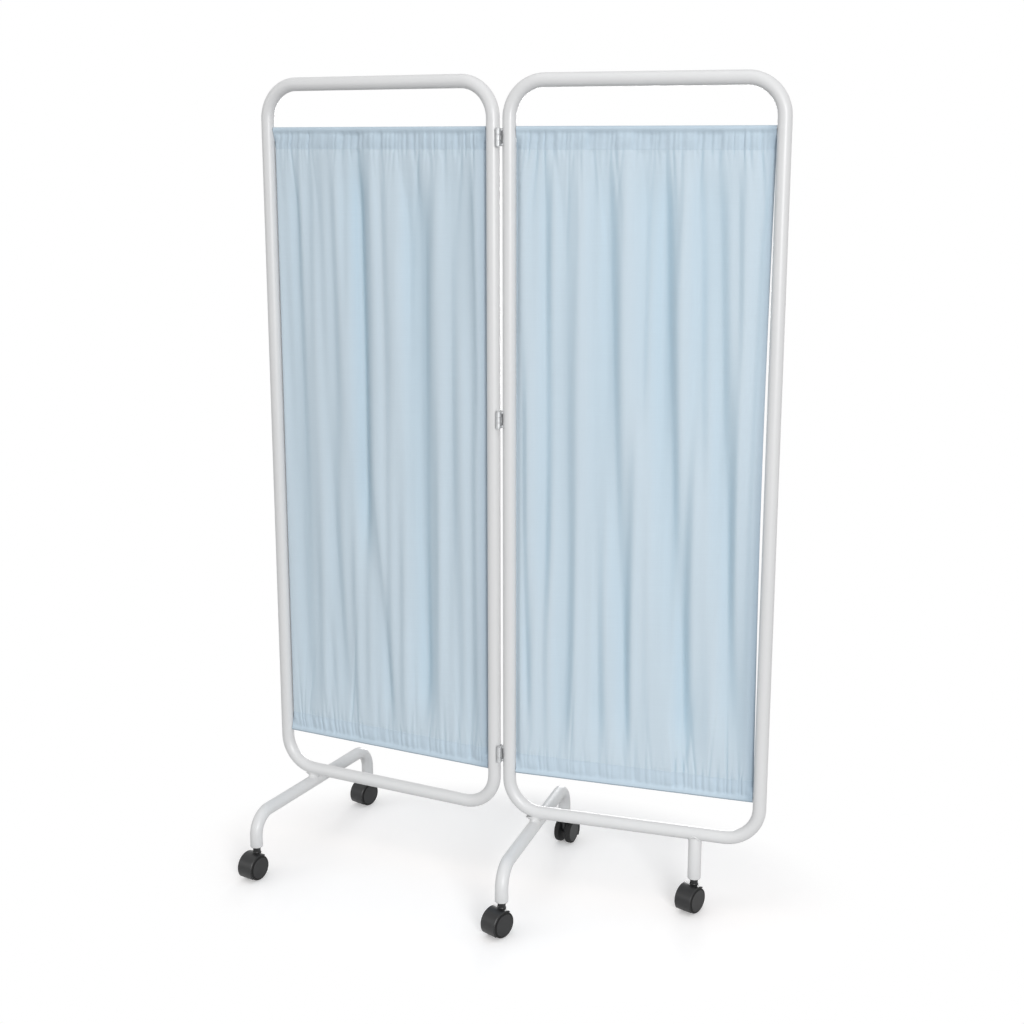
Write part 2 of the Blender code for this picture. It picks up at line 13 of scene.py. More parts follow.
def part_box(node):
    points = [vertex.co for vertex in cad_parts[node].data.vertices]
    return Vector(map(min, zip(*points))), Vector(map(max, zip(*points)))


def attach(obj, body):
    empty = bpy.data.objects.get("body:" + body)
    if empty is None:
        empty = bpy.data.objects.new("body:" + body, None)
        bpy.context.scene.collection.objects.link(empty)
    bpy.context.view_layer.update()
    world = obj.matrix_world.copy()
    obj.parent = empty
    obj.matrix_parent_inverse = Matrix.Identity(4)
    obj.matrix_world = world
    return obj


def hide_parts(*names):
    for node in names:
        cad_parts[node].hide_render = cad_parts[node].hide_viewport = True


MM = 0.001
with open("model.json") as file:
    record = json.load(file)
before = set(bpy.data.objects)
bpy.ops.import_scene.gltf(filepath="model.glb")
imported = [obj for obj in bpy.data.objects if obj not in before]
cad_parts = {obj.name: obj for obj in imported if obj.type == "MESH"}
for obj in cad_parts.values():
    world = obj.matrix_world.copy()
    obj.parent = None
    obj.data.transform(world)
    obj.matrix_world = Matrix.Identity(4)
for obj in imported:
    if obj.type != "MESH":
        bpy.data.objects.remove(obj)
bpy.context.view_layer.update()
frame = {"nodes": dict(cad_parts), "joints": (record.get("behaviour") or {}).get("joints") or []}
bpy.ops.object.select_all(action='DESELECT')


# Panel frames. Each is one length of 25 mm round steel tube, bent to a rounded rectangle and butt
# welded into a ring, then powder coated off-white. Each panel is measured from the hinge pin's
# axis: x along the panel, y back from the pin and z up.
TUBE_R = 12.5 * MM
PANEL_WIDTH = 487 * MM
PANEL_HEIGHT = 1375 * MM
CORNER_R = 65 * MM
REST_FOLD = math.radians(9)
TUBE_SIDES = 48
BEND_STEPS = 16
MERGE_WITHIN = 0.005 * MM

fold = next(joint for joint in frame["joints"] if joint["name"] == "panel_fold")
PIN = Vector((fold["pos_m"][0], fold["pos_m"][1], 0))
low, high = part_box("right_frame")
middle = (low + high) / 2 - PIN
NEAR = middle.x - PANEL_WIDTH / 2
FAR = middle.x + PANEL_WIDTH / 2
BACK = middle.y
RAIL_LOW = middle.z - PANEL_HEIGHT / 2
RAIL_HIGH = middle.z + PANEL_HEIGHT / 2
SIDES = {"right": 1, "left": -1}
STANCES = {
    "right": Matrix.Translation(PIN),
    "left": Matrix.Translation(PIN) @ Matrix.Rotation(-REST_FOLD, 4, 'Z'),
}


def open_piece(name):
    """Names the primitive that was just added, puts its place in its mesh and opens it."""
    piece = bpy.context.active_object
    piece.name = piece.data.name = name
    bpy.ops.object.transform_apply(location=True, rotation=True, scale=True)
    bpy.ops.object.mode_set(mode='EDIT')
    bpy.ops.mesh.select_all(action='SELECT')
    return piece


def close_piece(piece, crease=35):
    """Merges what meets, points the faces outwards and shades the piece."""
    bpy.ops.mesh.select_all(action='SELECT')
    bpy.ops.mesh.remove_doubles(threshold=MERGE_WITHIN)
    bpy.ops.mesh.normals_make_consistent(inside=False)
    bpy.ops.object.mode_set(mode='OBJECT')
    bpy.ops.object.shade_smooth_by_angle(angle=math.radians(crease))
    return piece


def finish_with(piece, kind, **settings):
    """Adds one modifier and applies it."""
    step = piece.modifiers.new(kind.lower(), kind)
    for name, value in settings.items():
        setattr(step, name, value)
    bpy.ops.object.select_all(action='DESELECT')
    piece.select_set(True)
    bpy.context.view_layer.objects.active = piece
    bpy.ops.object.modifier_apply(modifier=step.name)


def seat(piece, place, body, material, slot, *nodes):
    """Puts a finished piece in its place, gives it its finish and hands it to its body."""
    piece.data.transform(place)
    piece.data.materials.clear()
    piece.data.materials.append(material)
    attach(piece, body)
    if nodes:
        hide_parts(*nodes)
    piece.select_set(False)


def bent_tube(name, start, facing, moves):
    """A tube made as on the bender: a ring is run straight along each vector and swept round each
    bend, which is given by its centre, its axis and its angle."""
    bpy.ops.mesh.primitive_circle_add(vertices=TUBE_SIDES, radius=TUBE_R, location=start,
                                      rotation=facing)
    tube = open_piece(name)
    for move in moves:
        if len(move) == 2:
            centre, axis = move
            bpy.ops.mesh.spin(steps=BEND_STEPS, angle=math.radians(-90), center=centre, axis=axis)
        else:
            bpy.ops.mesh.extrude_region_move(TRANSFORM_OT_translate={"value": move})
    return close_piece(tube)


def add_node(tree, kind, sockets=None, **settings):
    """Adds a node, sets its properties, and fills or links its sockets by name or number."""
    node = tree.nodes.new(kind)
    for name, value in settings.items():
        setattr(node, name, value)
    for name, value in (sockets or {}).items():
        if isinstance(value, bpy.types.NodeSocket):
            tree.links.new(value, node.inputs[name])
        else:
            node.inputs[name].default_value = value
    return node


def maths(tree, operation, *values):
    """One step of arithmetic on numbers or sockets."""
    return add_node(tree, "ShaderNodeMath", dict(enumerate(values)), operation=operation).outputs[0]


def blended(tree, share, first, second):
    """The colour that lies a share of the way from the first to the second."""
    mix = add_node(tree, "ShaderNodeMix", {0: share, 6: first, 7: second}, data_type='RGBA')
    return mix.outputs[2]


def new_group(name, inputs):
    """A shader node group of a surface, with its named inputs and its three outputs."""
    group = bpy.data.node_groups.new(name, 'ShaderNodeTree')
    for in_out, names in (('INPUT', inputs), ('OUTPUT', ("Mixed colour", "Roughness", "Height"))):
        for socket in names:
            kind = 'NodeSocketColor' if "colour" in socket else 'NodeSocketFloat'
            group.interface.new_socket(socket, in_out=in_out, socket_type=kind)
    given, made = group.nodes.new("NodeGroupInput"), group.nodes.new("NodeGroupOutput")
    return group, given.outputs, made.inputs


def put_out(group, made, *sockets):
    """Ends a group with its colour, its roughness and its height."""
    for socket, target in zip(sockets, made):
        group.links.new(socket, target)
    return group


def surface_grain():
    """Slow changes of colour and gloss over a coat or a moulding, and its fine grain."""
    group, given, made = new_group("surface_grain", (
        "Main colour", "Deep colour", "Patches", "Grains", "Gloss", "Gloss change"))
    place = add_node(group, "ShaderNodeTexCoord").outputs["Object"]
    patches = add_node(group, "ShaderNodeTexNoise", {
        "Vector": place, "Scale": given["Patches"], "Detail": 3, "Roughness": 0.55}).outputs["Fac"]
    grains = add_node(group, "ShaderNodeTexNoise", {
        "Vector": place, "Scale": given["Grains"], "Detail": 2, "Roughness": 0.5}).outputs["Fac"]
    tint = blended(group, patches, given["Main colour"], given["Deep colour"])
    centred = maths(group, 'SUBTRACT', patches, 0.5)
    gloss = maths(group, 'MULTIPLY_ADD', centred, given["Gloss change"], given["Gloss"])
    return put_out(group, made, tint, gloss, grains)


def finish_of(name, group, values, bump, strength=1.0, **shading):
    """A material whose shader takes its colour, gloss and relief from a group with these values."""
    material = bpy.data.materials.new(name)
    material.use_nodes = True
    tree = material.node_tree
    shader = tree.nodes["Principled BSDF"]
    surface = add_node(tree, "ShaderNodeGroup", node_tree=group)
    for socket, value in values.items():
        surface.inputs[socket].default_value = (*value, 1) if "colour" in socket else value
    relief = add_node(tree, "ShaderNodeBump", {
        "Strength": strength, "Distance": bump, "Height": surface.outputs["Height"]})
    tree.links.new(surface.outputs["Mixed colour"], shader.inputs["Base Color"])
    tree.links.new(surface.outputs["Roughness"], shader.inputs["Roughness"])
    tree.links.new(relief.outputs["Normal"], shader.inputs["Normal"])
    for socket, value in shading.items():
        shader.inputs[socket.replace("_", " ")].default_value = value
    return material


GRAIN = surface_grain()


def grained(name, main, deep, patches, grains, gloss, change, bump, **shading):
    """A finish on the surface grain, its bump given as the real height of a grain."""
    return finish_of(name, GRAIN, {
        "Main colour": main, "Deep colour": deep, "Patches": patches, "Grains": grains,
        "Gloss": gloss, "Gloss change": change}, bump, **shading)


POWDER_COAT = grained("powder_coat", (0.708, 0.711, 0.715), (0.679, 0.683, 0.688),
                      patches=9, grains=900, gloss=0.36, change=0.10, bump=0.02 * MM)

for panel, side in SIDES.items():
    left_x, right_x = sorted((side * NEAR, side * FAR))
    across = right_x - left_x - 2 * CORNER_R
    up = PANEL_HEIGHT - 2 * CORNER_R
    turn = (0, -1, 0)
    ring = bent_tube(panel + "_frame_tube", (left_x + CORNER_R, BACK, RAIL_LOW),
                     (0, math.radians(90), 0), (
        (across, 0, 0), ((right_x - CORNER_R, BACK, RAIL_LOW + CORNER_R), turn),
        (0, 0, up), ((right_x - CORNER_R, BACK, RAIL_HIGH - CORNER_R), turn),
        (-across, 0, 0), ((left_x + CORNER_R, BACK, RAIL_HIGH - CORNER_R), turn),
        (0, 0, -up), ((left_x + CORNER_R, BACK, RAIL_LOW + CORNER_R), turn)))
    seat(ring, STANCES[panel], panel + "_panel", POWDER_COAT, "painted_tube", panel + "_frame")


# Leg bows and the third leg. Each bow is one tube, bent at both ends and crossing under the bottom
# rail, and the third leg is a short straight tube coped to the rail. All are welded on before the
# frames are coated, so they have the same finish.
TUBE_WALL = 1.5 * MM
BOW_REACH = 205 * MM
BOW_R = 42 * MM
SADDLE_THICK = 2 * MM
CUT_EDGE = 0.35 * MM    # how far the edge of a cut end, or of a moulding, is broken
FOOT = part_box("stub_leg")[0].z
BAR = RAIL_LOW - 2 * TUBE_R - SADDLE_THICK


def place_along(panel, node):
    """How far along its panel a node's middle lies, from the hinge pin's axis."""
    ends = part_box(node)
    return (STANCES[panel].inverted() @ ((ends[0] + ends[1]) / 2)).x


def hollow_leg(tube):
    """Gives an open tube its wall, and breaks the sharp edges of its cut ends."""
    finish_with(tube, 'SOLIDIFY', thickness=TUBE_WALL, offset=-1)
    finish_with(tube, 'BEVEL', width=CUT_EDGE, segments=2, limit_method='ANGLE',
                angle_limit=math.radians(60))
    bpy.ops.object.shade_smooth_by_angle(angle=math.radians(35))
    return tube


for panel in SIDES:
    x = place_along(panel, panel + "_leg_bow")
    rise = BAR - BOW_R - FOOT
    turn = (-1, 0, 0)
    bow = bent_tube(panel + "_leg_bow_tube", (x, BACK - BOW_REACH, FOOT), (0, 0, 0), (
        (0, 0, rise), ((x, BACK - BOW_REACH + BOW_R, BAR - BOW_R), turn),
        (0, 2 * (BOW_REACH - BOW_R), 0), ((x, BACK + BOW_REACH - BOW_R, BAR - BOW_R), turn),
        (0, 0, -rise)))
    seat(hollow_leg(bow), STANCES[panel], panel + "_panel", POWDER_COAT, "painted_tube",
         panel + "_leg_bow")

STUB_X = place_along("right", "stub_leg")
stub = bent_tube("stub_leg_tube", (STUB_X, BACK, FOOT), (0, 0, 0), (
    (0, 0, RAIL_LOW - TUBE_R / 2 - FOOT),))
seat(hollow_leg(stub), STANCES["right"], "right_panel", POWDER_COAT, "painted_tube", "stub_leg")


# Welds. A saddle of weld metal fills the hollow between rail and bow and flares out along both, and
# a bead runs round the third leg where it meets the rail. The ripples are those of a hand-fed
# torch, softened by the coat.
WELD_RAIL_REACH = 19 * MM
WELD_BOW_REACH = 17 * MM
WELD_WAIST = 10.5 * MM
WELD_SINK = 0.6 * MM
WELD_RIPPLES = 30
WELD_RIPPLE = 0.22 * MM
BEAD_R = 1.7 * MM
BEAD_RING = TUBE_R - 0.2 * MM    # so that the folded panel passes
BEAD_SWELL = 0.12


def weld_saddle(name, x):
    """A sheet rolled into a ring: its top edge lies on the rail and its lower edge on the bow."""
    bpy.ops.mesh.primitive_grid_add(x_subdivisions=96, y_subdivisions=14, size=1)
    weld = open_piece(name)
    bpy.ops.object.mode_set(mode='OBJECT')
    for vertex in weld.data.vertices:
        angle = math.tau * (vertex.co.x + 0.5)
        down = 0.5 - vertex.co.y
        flare = (2 * down - 1) ** 2
        rail_share = flare if down < 0.5 else 0
        bow_share = flare if down > 0.5 else 0
        ripple = WELD_RIPPLE * math.sin(WELD_RIPPLES * angle) * math.sin(math.pi * down) ** 0.5
        long = WELD_WAIST + (WELD_RAIL_REACH - WELD_WAIST) * rail_share + ripple
        wide = WELD_WAIST + (WELD_BOW_REACH - WELD_WAIST) * bow_share + ripple
        along, out = long * math.cos(angle), wide * math.sin(angle)
        reach = TUBE_R - WELD_SINK
        top = RAIL_LOW - math.sqrt(max(reach ** 2 - out ** 2, 0))
        bottom = BAR + math.sqrt(max(reach ** 2 - along ** 2, 0))
        vertex.co = (x + along, BACK + out, top + (bottom - top) * down)
    bpy.ops.object.mode_set(mode='EDIT')
    return close_piece(weld, 60)


for panel in SIDES:
    weld = weld_saddle(panel + "_saddle_weld", place_along(panel, panel + "_leg_bow"))
    seat(weld, STANCES[panel], panel + "_panel", POWDER_COAT, "painted_tube",
         panel + "_weld_saddle")

bpy.ops.mesh.primitive_torus_add(major_segments=96, minor_segments=12, major_radius=BEAD_RING,
                                 minor_radius=BEAD_R, location=(STUB_X, BACK, 0))
bead = open_piece("stub_leg_weld")
bpy.ops.object.mode_set(mode='OBJECT')
for vertex in bead.data.vertices:
    off = vertex.co - Vector((STUB_X, BACK, 0))
    angle = math.atan2(off.y, off.x)
    ring = Vector((math.cos(angle), math.sin(angle), 0)) * BEAD_RING
    swell = 1 + BEAD_SWELL * math.sin(WELD_RIPPLES * angle)
    cope = RAIL_LOW - math.sqrt(TUBE_R ** 2 - min(abs(ring.y), TUBE_R * 0.98) ** 2)
    vertex.co = Vector((STUB_X, BACK, cope)) + ring + (off - ring) * swell
bpy.ops.object.mode_set(mode='EDIT')
close_piece(bead, 60)
seat(bead, STANCES["right"], "right_panel", POWDER_COAT, "painted_tube")


# Curtain rods. Plain 6 mm round steel, zinc plated, with turned-down ends that sit in holes drilled
# in the uprights. All but their ends are inside the curtain's pockets.
ROD_R = 3 * MM
ROD_GRIP = 7 * MM
ROD_CHAMFER = 0.5 * MM

ZINC = grained("zinc_plate", (0.62, 0.63, 0.65), (0.50, 0.51, 0.53), patches=60, grains=1600,
               gloss=0.30, change=0.16, bump=0.004 * MM, Metallic=1.0)


def turned(name, profile, sides, crease=35):
    """A lathe part on the Z axis: a disc is pushed along and resized at each (radius, height)."""
    radius, height = profile[0]
    bpy.ops.mesh.primitive_circle_add(vertices=sides, radius=radius, fill_type='NGON',
                                      location=(0, 0, height))
    piece = open_piece(name)
    for wide, tall in profile[1:]:
        bpy.ops.mesh.extrude_region_move(TRANSFORM_OT_translate={"value": (0, 0, tall - height)})
        bpy.ops.transform.resize(value=(wide / radius, wide / radius, 1),
                                 center_override=(0, 0, tall))
        radius, height = wide, tall
    return close_piece(piece, crease)


ROD_HEIGHTS = {level: sum(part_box(f"right_{level}_rod")[k].z for k in (0, 1)) / 2
               for level in ("upper", "lower")}
for panel, side in SIDES.items():
    for level, height in ROD_HEIGHTS.items():
        start = NEAR + TUBE_R - ROD_GRIP
        end = FAR - TUBE_R + ROD_GRIP
        rod = turned(f"{panel}_{level}_curtain_rod", (
            (ROD_R - ROD_CHAMFER, start), (ROD_R, start + ROD_CHAMFER),
            (ROD_R, end - ROD_CHAMFER), (ROD_R - ROD_CHAMFER, end)), 24)
        lay = Matrix.Translation((0, BACK, height)) @ Matrix.Rotation(side * math.pi / 2, 4, 'Y')
        seat(rod, STANCES[panel] @ lay, panel + "_panel", ZINC, "plated_rod",
             f"{panel}_{level}_rod")


# Curtains. Each is one light blue plain-weave cloth, wider than its panel, gathered on the two rods
# in pockets with a stitched header. It is held taut up and down, so the small gathers at the hems
# run together into a few long folds. Both side edges are turned and curl back behind the uprights.
CLOTH_FLAT = (0.560, 1.300)
CLOTH_GAP = 0.6 * MM
CLOTH_THICK = 0.7 * MM
CLOTH_EASE = 0.7 * MM
HEM_DEPTH = 36 * MM
HEM_BACK = 1.3 * MM
EDGE_CURLS = {                     # how deep and how wide, at the left and at the right edge
    "left": ((10.3 * MM, 5 * MM), (8.5 * MM, 10 * MM)),
    "right": ((8.2 * MM, 8 * MM), (8.5 * MM, 9 * MM)),
}
EDGE_CALM = 16 * MM                # the folds die out this near to an edge
PULL_IN = {"left": 0.5 * MM, "right": 5.5 * MM}
COLUMNS = 300
EDGE_CROWD = 0.45                  # the columns lie closer at the edges
FALL_ROWS = 90
ROW_CROWD = 0.10                   # and the rows at the hems
POCKET_ROWS = 9
TAIL_ROWS = 5
PLEAT_PITCH = 8.0 * MM
PLEAT_DEPTH = 2.15 * MM
PLEAT_WIDTH = 2.5 * MM
PLEAT_LENGTHS = (10 * MM, 15 * MM, 22 * MM, 35 * MM, 60 * MM, 120 * MM)
PLEAT_EASE = (0.35, 60 * MM)       # the share of a pleat's depth that the cloth comes forward
PUCKER_PITCH = 5.5 * MM
PUCKER_DEPTH = 0.9 * MM
SEAM_WIDE = 5 * MM
STITCH_LENGTH = 2.6 * MM
STITCH_STEP = 3.6 * MM
STITCH_R = 0.28 * MM
STITCH_TAPER = 0.45
STITCH_LIFT = 0.45 * MM            # the stitches lie this far out from the cloth's middle
HEM_HOLD = (0.36, 110 * MM)        # the share of its folds left at a seam, and how far that reaches
HEM_JOG = (0.011, 37)              # how far the folds jump aside at a seam, and how often
CURL_GROWS = (7 * MM, 30 * MM)     # from the rods, where the edges start to curl and are curled
SLOW_WAVES = (5, 8, 12, 17)        # how many of each kind there are across the cloth
SLOW_DEPTH = 17 * MM
DEEP_FOLD = 13 * MM                # a fold this deep has its full share of the painted fold shade,
STEEP_FOLD = 0.9                   # and so has one of this slope
FOLD_SHADE_SHARES = (0.45, 0.75)           # the two shares
BACK_FOLD_SHADE = 0.35                  # the even share of that painted shade on the back
THREAD_PITCH = 0.5 * MM
HEM_SHARE = 0.0655                 # of the cloth's length along its cut
CREASE_SHADE = (0.0030, 0.0040)          # the painted shade line at the lower pocket's crease: its half width, as such a share, and its edge

# Painted shade along the right edge, where the upright shades the cloth: how dark and how wide it
# is, all along, and in the lower half, where the edge turns from the light.
LOWER_HALF = (0.35, 0.85)
EDGE_SHADES = {
    "left": ((0.40, 17 * MM), (0.12, 36 * MM)),
    "right": ((0.46, 12 * MM), (0.20, 46 * MM)),
}

# The front of a hem from the rod down to its stitches: (below the rod, out from the middle, how
# free the cloth is to gather). It dips into a crease under the rod and puffs out below it.
HEM_SECTION = (
    (2.5 * MM, -3.8 * MM, 0.15), (5.0 * MM, -2.5 * MM, 0.3), (7.5 * MM, -1.6 * MM, 0.5),
    (10 * MM, -1.7 * MM, 0.8), (13 * MM, -2.1 * MM, 1.0), (17 * MM, -2.3 * MM, 1.0),
    (21 * MM, -2.3 * MM, 1.0), (25 * MM, -2.1 * MM, 1.0), (29 * MM, -1.7 * MM, 0.95),
    (32.5 * MM, -1.2 * MM, 0.8), (36 * MM, -0.8 * MM, 0.65),
)

FOLD_GROWS = 0.22                  # the share of the height in which a fold grows at its start
FOLD_DIES = 0.20                   # and the one in which it dies away at its end
FOLD_FORM = (0.78, 0.27)           # how fast it comes forward on its right, and on its left
FOLD_SCALE = 0.95
FOLD_BULGE = (0.22, 3.2)           # how far the cloth round it comes forward, and how wide that is
STEEP_SHARE = 0.7                  # how far its dark line is from its deepest point

# The long folds of each curtain: where each lies as a share of the width at the top, at half
# height and at the bottom, the shares of the height that it starts and ends at, how far it goes
# back, and its half width. The one that goes forward is a ridge.
FOLD_SHARES = {
    "left": (
        (0.12, 0.133, 0.145, -0.05, 1.10, 8.5 * MM, 14 * MM),
        (0.222, 0.249, 0.346, -0.15, 1.08, 6.5 * MM, 14 * MM),
        (0.34, 0.345, 0.350, -0.20, 0.38, 4 * MM, 9 * MM),
        (0.42, 0.427, 0.410, -0.22, 0.74, 20 * MM, 15 * MM),
        (0.40, 0.455, 0.550, 0.50, 1.12, 7 * MM, 10 * MM),
        (0.65, 0.643, 0.640, 0.0, 0.72, 7 * MM, 11 * MM),
        (0.74, 0.727, 0.727, -0.04, 1.02, 17 * MM, 15 * MM),
        (0.855, 0.848, 0.875, -0.2, 1.08, 6 * MM, 11 * MM),
        (0.935, 0.960, 0.955, -0.1, 0.55, 4.5 * MM, 9 * MM),
        (0.17, 0.190, 0.260, 0.66, 1.10, 4.5 * MM, 10 * MM),
        (0.508, 0.508, 0.502, -0.15, 0.85, -6 * MM, 10 * MM),
    ),
    "right": (
        (0.050, 0.036, 0.068, 0.26, 0.98, 14 * MM, 9 * MM),
        (0.118, 0.140, 0.140, -0.3, 0.80, 11 * MM, 12 * MM),
        (0.215, 0.235, 0.225, -0.1, 1.05, 7.5 * MM, 15 * MM),
        (0.325, 0.338, 0.375, -0.15, 1.05, 5.5 * MM, 11 * MM),
        (0.385, 0.434, 0.500, -0.15, 1.12, 14 * MM, 14 * MM),
        (0.525, 0.532, 0.540, -0.25, 0.52, 12 * MM, 11 * MM),
        (0.600, 0.668, 0.746, -0.15, 1.06, 18 * MM, 17 * MM),
        (0.655, 0.660, 0.660, -0.2, 0.28, 4 * MM, 8 * MM),
        (0.725, 0.778, 0.800, -0.25, 0.60, 9.5 * MM, 12 * MM),
        (0.800, 0.874, 0.935, -0.20, 1.00, 14 * MM, 15 * MM),
        (0.870, 0.920, 0.930, -0.25, 0.42, 8 * MM, 9 * MM),
    ),
}


def eased(value, start, end):
    """0 before start, 1 after end, and smooth in between."""
    share = np.clip((value - start) / (end - start), 0, 1)
    return share * share * (3 - 2 * share)


def long_folds(panel, across, down, width):
    """How far the long folds carry the cloth back at each point. Each falls away slowly on its
    left and comes forward again steeply on its right."""
    back = np.zeros_like(across)
    for top, half, bottom, start, end, depth, wide in FOLD_SHARES[panel]:
        bend = 2 * (top + bottom - 2 * half)
        centre = top + (bottom - top) * down - bend * down * (1 - down)
        strength = eased(down, start, start + FOLD_GROWS) * (1 - eased(down, end - FOLD_DIES, end))
        away = (across - centre) * width / wide + STEEP_SHARE
        body = np.exp(-away * away * np.where(away > 0, *FOLD_FORM))
        bulge = FOLD_BULGE[0] * np.exp(-(away / FOLD_BULGE[1]) ** 2)
        back += FOLD_SCALE * depth * strength * (body - bulge)
    return back


def slow_waves(across, down, seed):
    """Shallow waves of the slack cloth between the long folds."""
    draw = random.Random(seed)
    back = np.zeros_like(across)
    for waves in SLOW_WAVES:
        phase, drift = draw.uniform(0, math.tau), draw.uniform(-1, 1)
        beat, beat_phase = draw.uniform(1.5, 3.5), draw.uniform(0, math.tau)
        swell = 0.55 + 0.45 * np.sin(beat * math.pi * down + beat_phase + 3 * across)
        back += swell * np.sin(math.tau * waves * across + phase + 2.4 * drift * down) / waves
    return SLOW_DEPTH * back


def hem_pleats(across, below_seam, width, seed):
    """Small gathers, each with its own place, depth and length below the seam that holds it, and
    the puckers of the seam itself."""
    draw = random.Random(seed)
    back = np.zeros_like(across)
    fallen = np.maximum(below_seam, 0)
    place = 0.0
    while place < width:
        place += PLEAT_PITCH * draw.uniform(0.35, 1.65)
        depth = PLEAT_DEPTH * draw.uniform(0.15, 1.35)
        wide = PLEAT_WIDTH * draw.uniform(0.65, 1.7)
        length = draw.choice(PLEAT_LENGTHS) * draw.uniform(0.8, 1.2)
        lean = draw.uniform(-0.14, 0.14)
        away = (across * width - place - lean * fallen) / (wide * (1 + 5 * fallen))
        back += depth * np.exp(-away * away) * np.exp(-fallen / length)
    seam = np.exp(-(below_seam / SEAM_WIDE) ** 2)
    turns = math.tau * across * width / PUCKER_PITCH
    pucker = np.sin(turns + 2.5 * np.sin(turns * 0.23 + seed)) * np.sin(turns * 0.37 + 2 * seed)
    back += PUCKER_DEPTH * seam * pucker
    return back - PLEAT_EASE[0] * PLEAT_DEPTH * np.exp(-fallen / PLEAT_EASE[1])


def cloth_stations():
    """The cloth's way along its cut: up the turned hem at the back, over the upper rod, down the
    front and back round the lower rod. Each station is (out, height, how free the cloth is)."""
    upper, lower = ROD_HEIGHTS["upper"], ROD_HEIGHTS["lower"]
    wrap = ROD_R + CLOTH_EASE + CLOTH_THICK / 2
    rows = []
    for k in range(TAIL_ROWS):
        share = k / TAIL_ROWS
        rows.append((HEM_BACK, upper - HEM_DEPTH + (HEM_DEPTH - wrap - 1 * MM) * share, 0.8))
    for k in range(POCKET_ROWS + 1):
        angle = math.pi * k / POCKET_ROWS
        rows.append((wrap * math.cos(angle), upper + wrap * math.sin(angle), 0.12))
    rows += [(out, upper - below, free) for below, out, free in HEM_SECTION]
    seam_high, seam_low = upper - HEM_DEPTH, lower + HEM_DEPTH
    mirrored = [(out, upper + lower - height, free) for out, height, free in rows[::-1]]
    for k in range(1, FALL_ROWS):
        share = k / FALL_ROWS
        share -= ROW_CROWD * math.sin(math.tau * share)
        rows.append((-HEM_BACK, seam_high + (seam_low - seam_high) * share, 1.0))
    return rows + mirrored


def fill_map(cloth, name, *shares):
    """Fills a UV map of the cloth with a pair of shares for each of its points."""
    corners = np.empty(len(cloth.data.loops), dtype=np.int32)
    cloth.data.loops.foreach_get("vertex_index", corners)
    pairs = np.stack(shares, axis=1)[corners]
    cloth.data.uv_layers[name].uv.foreach_set("vector", pairs.astype(np.float32).ravel())


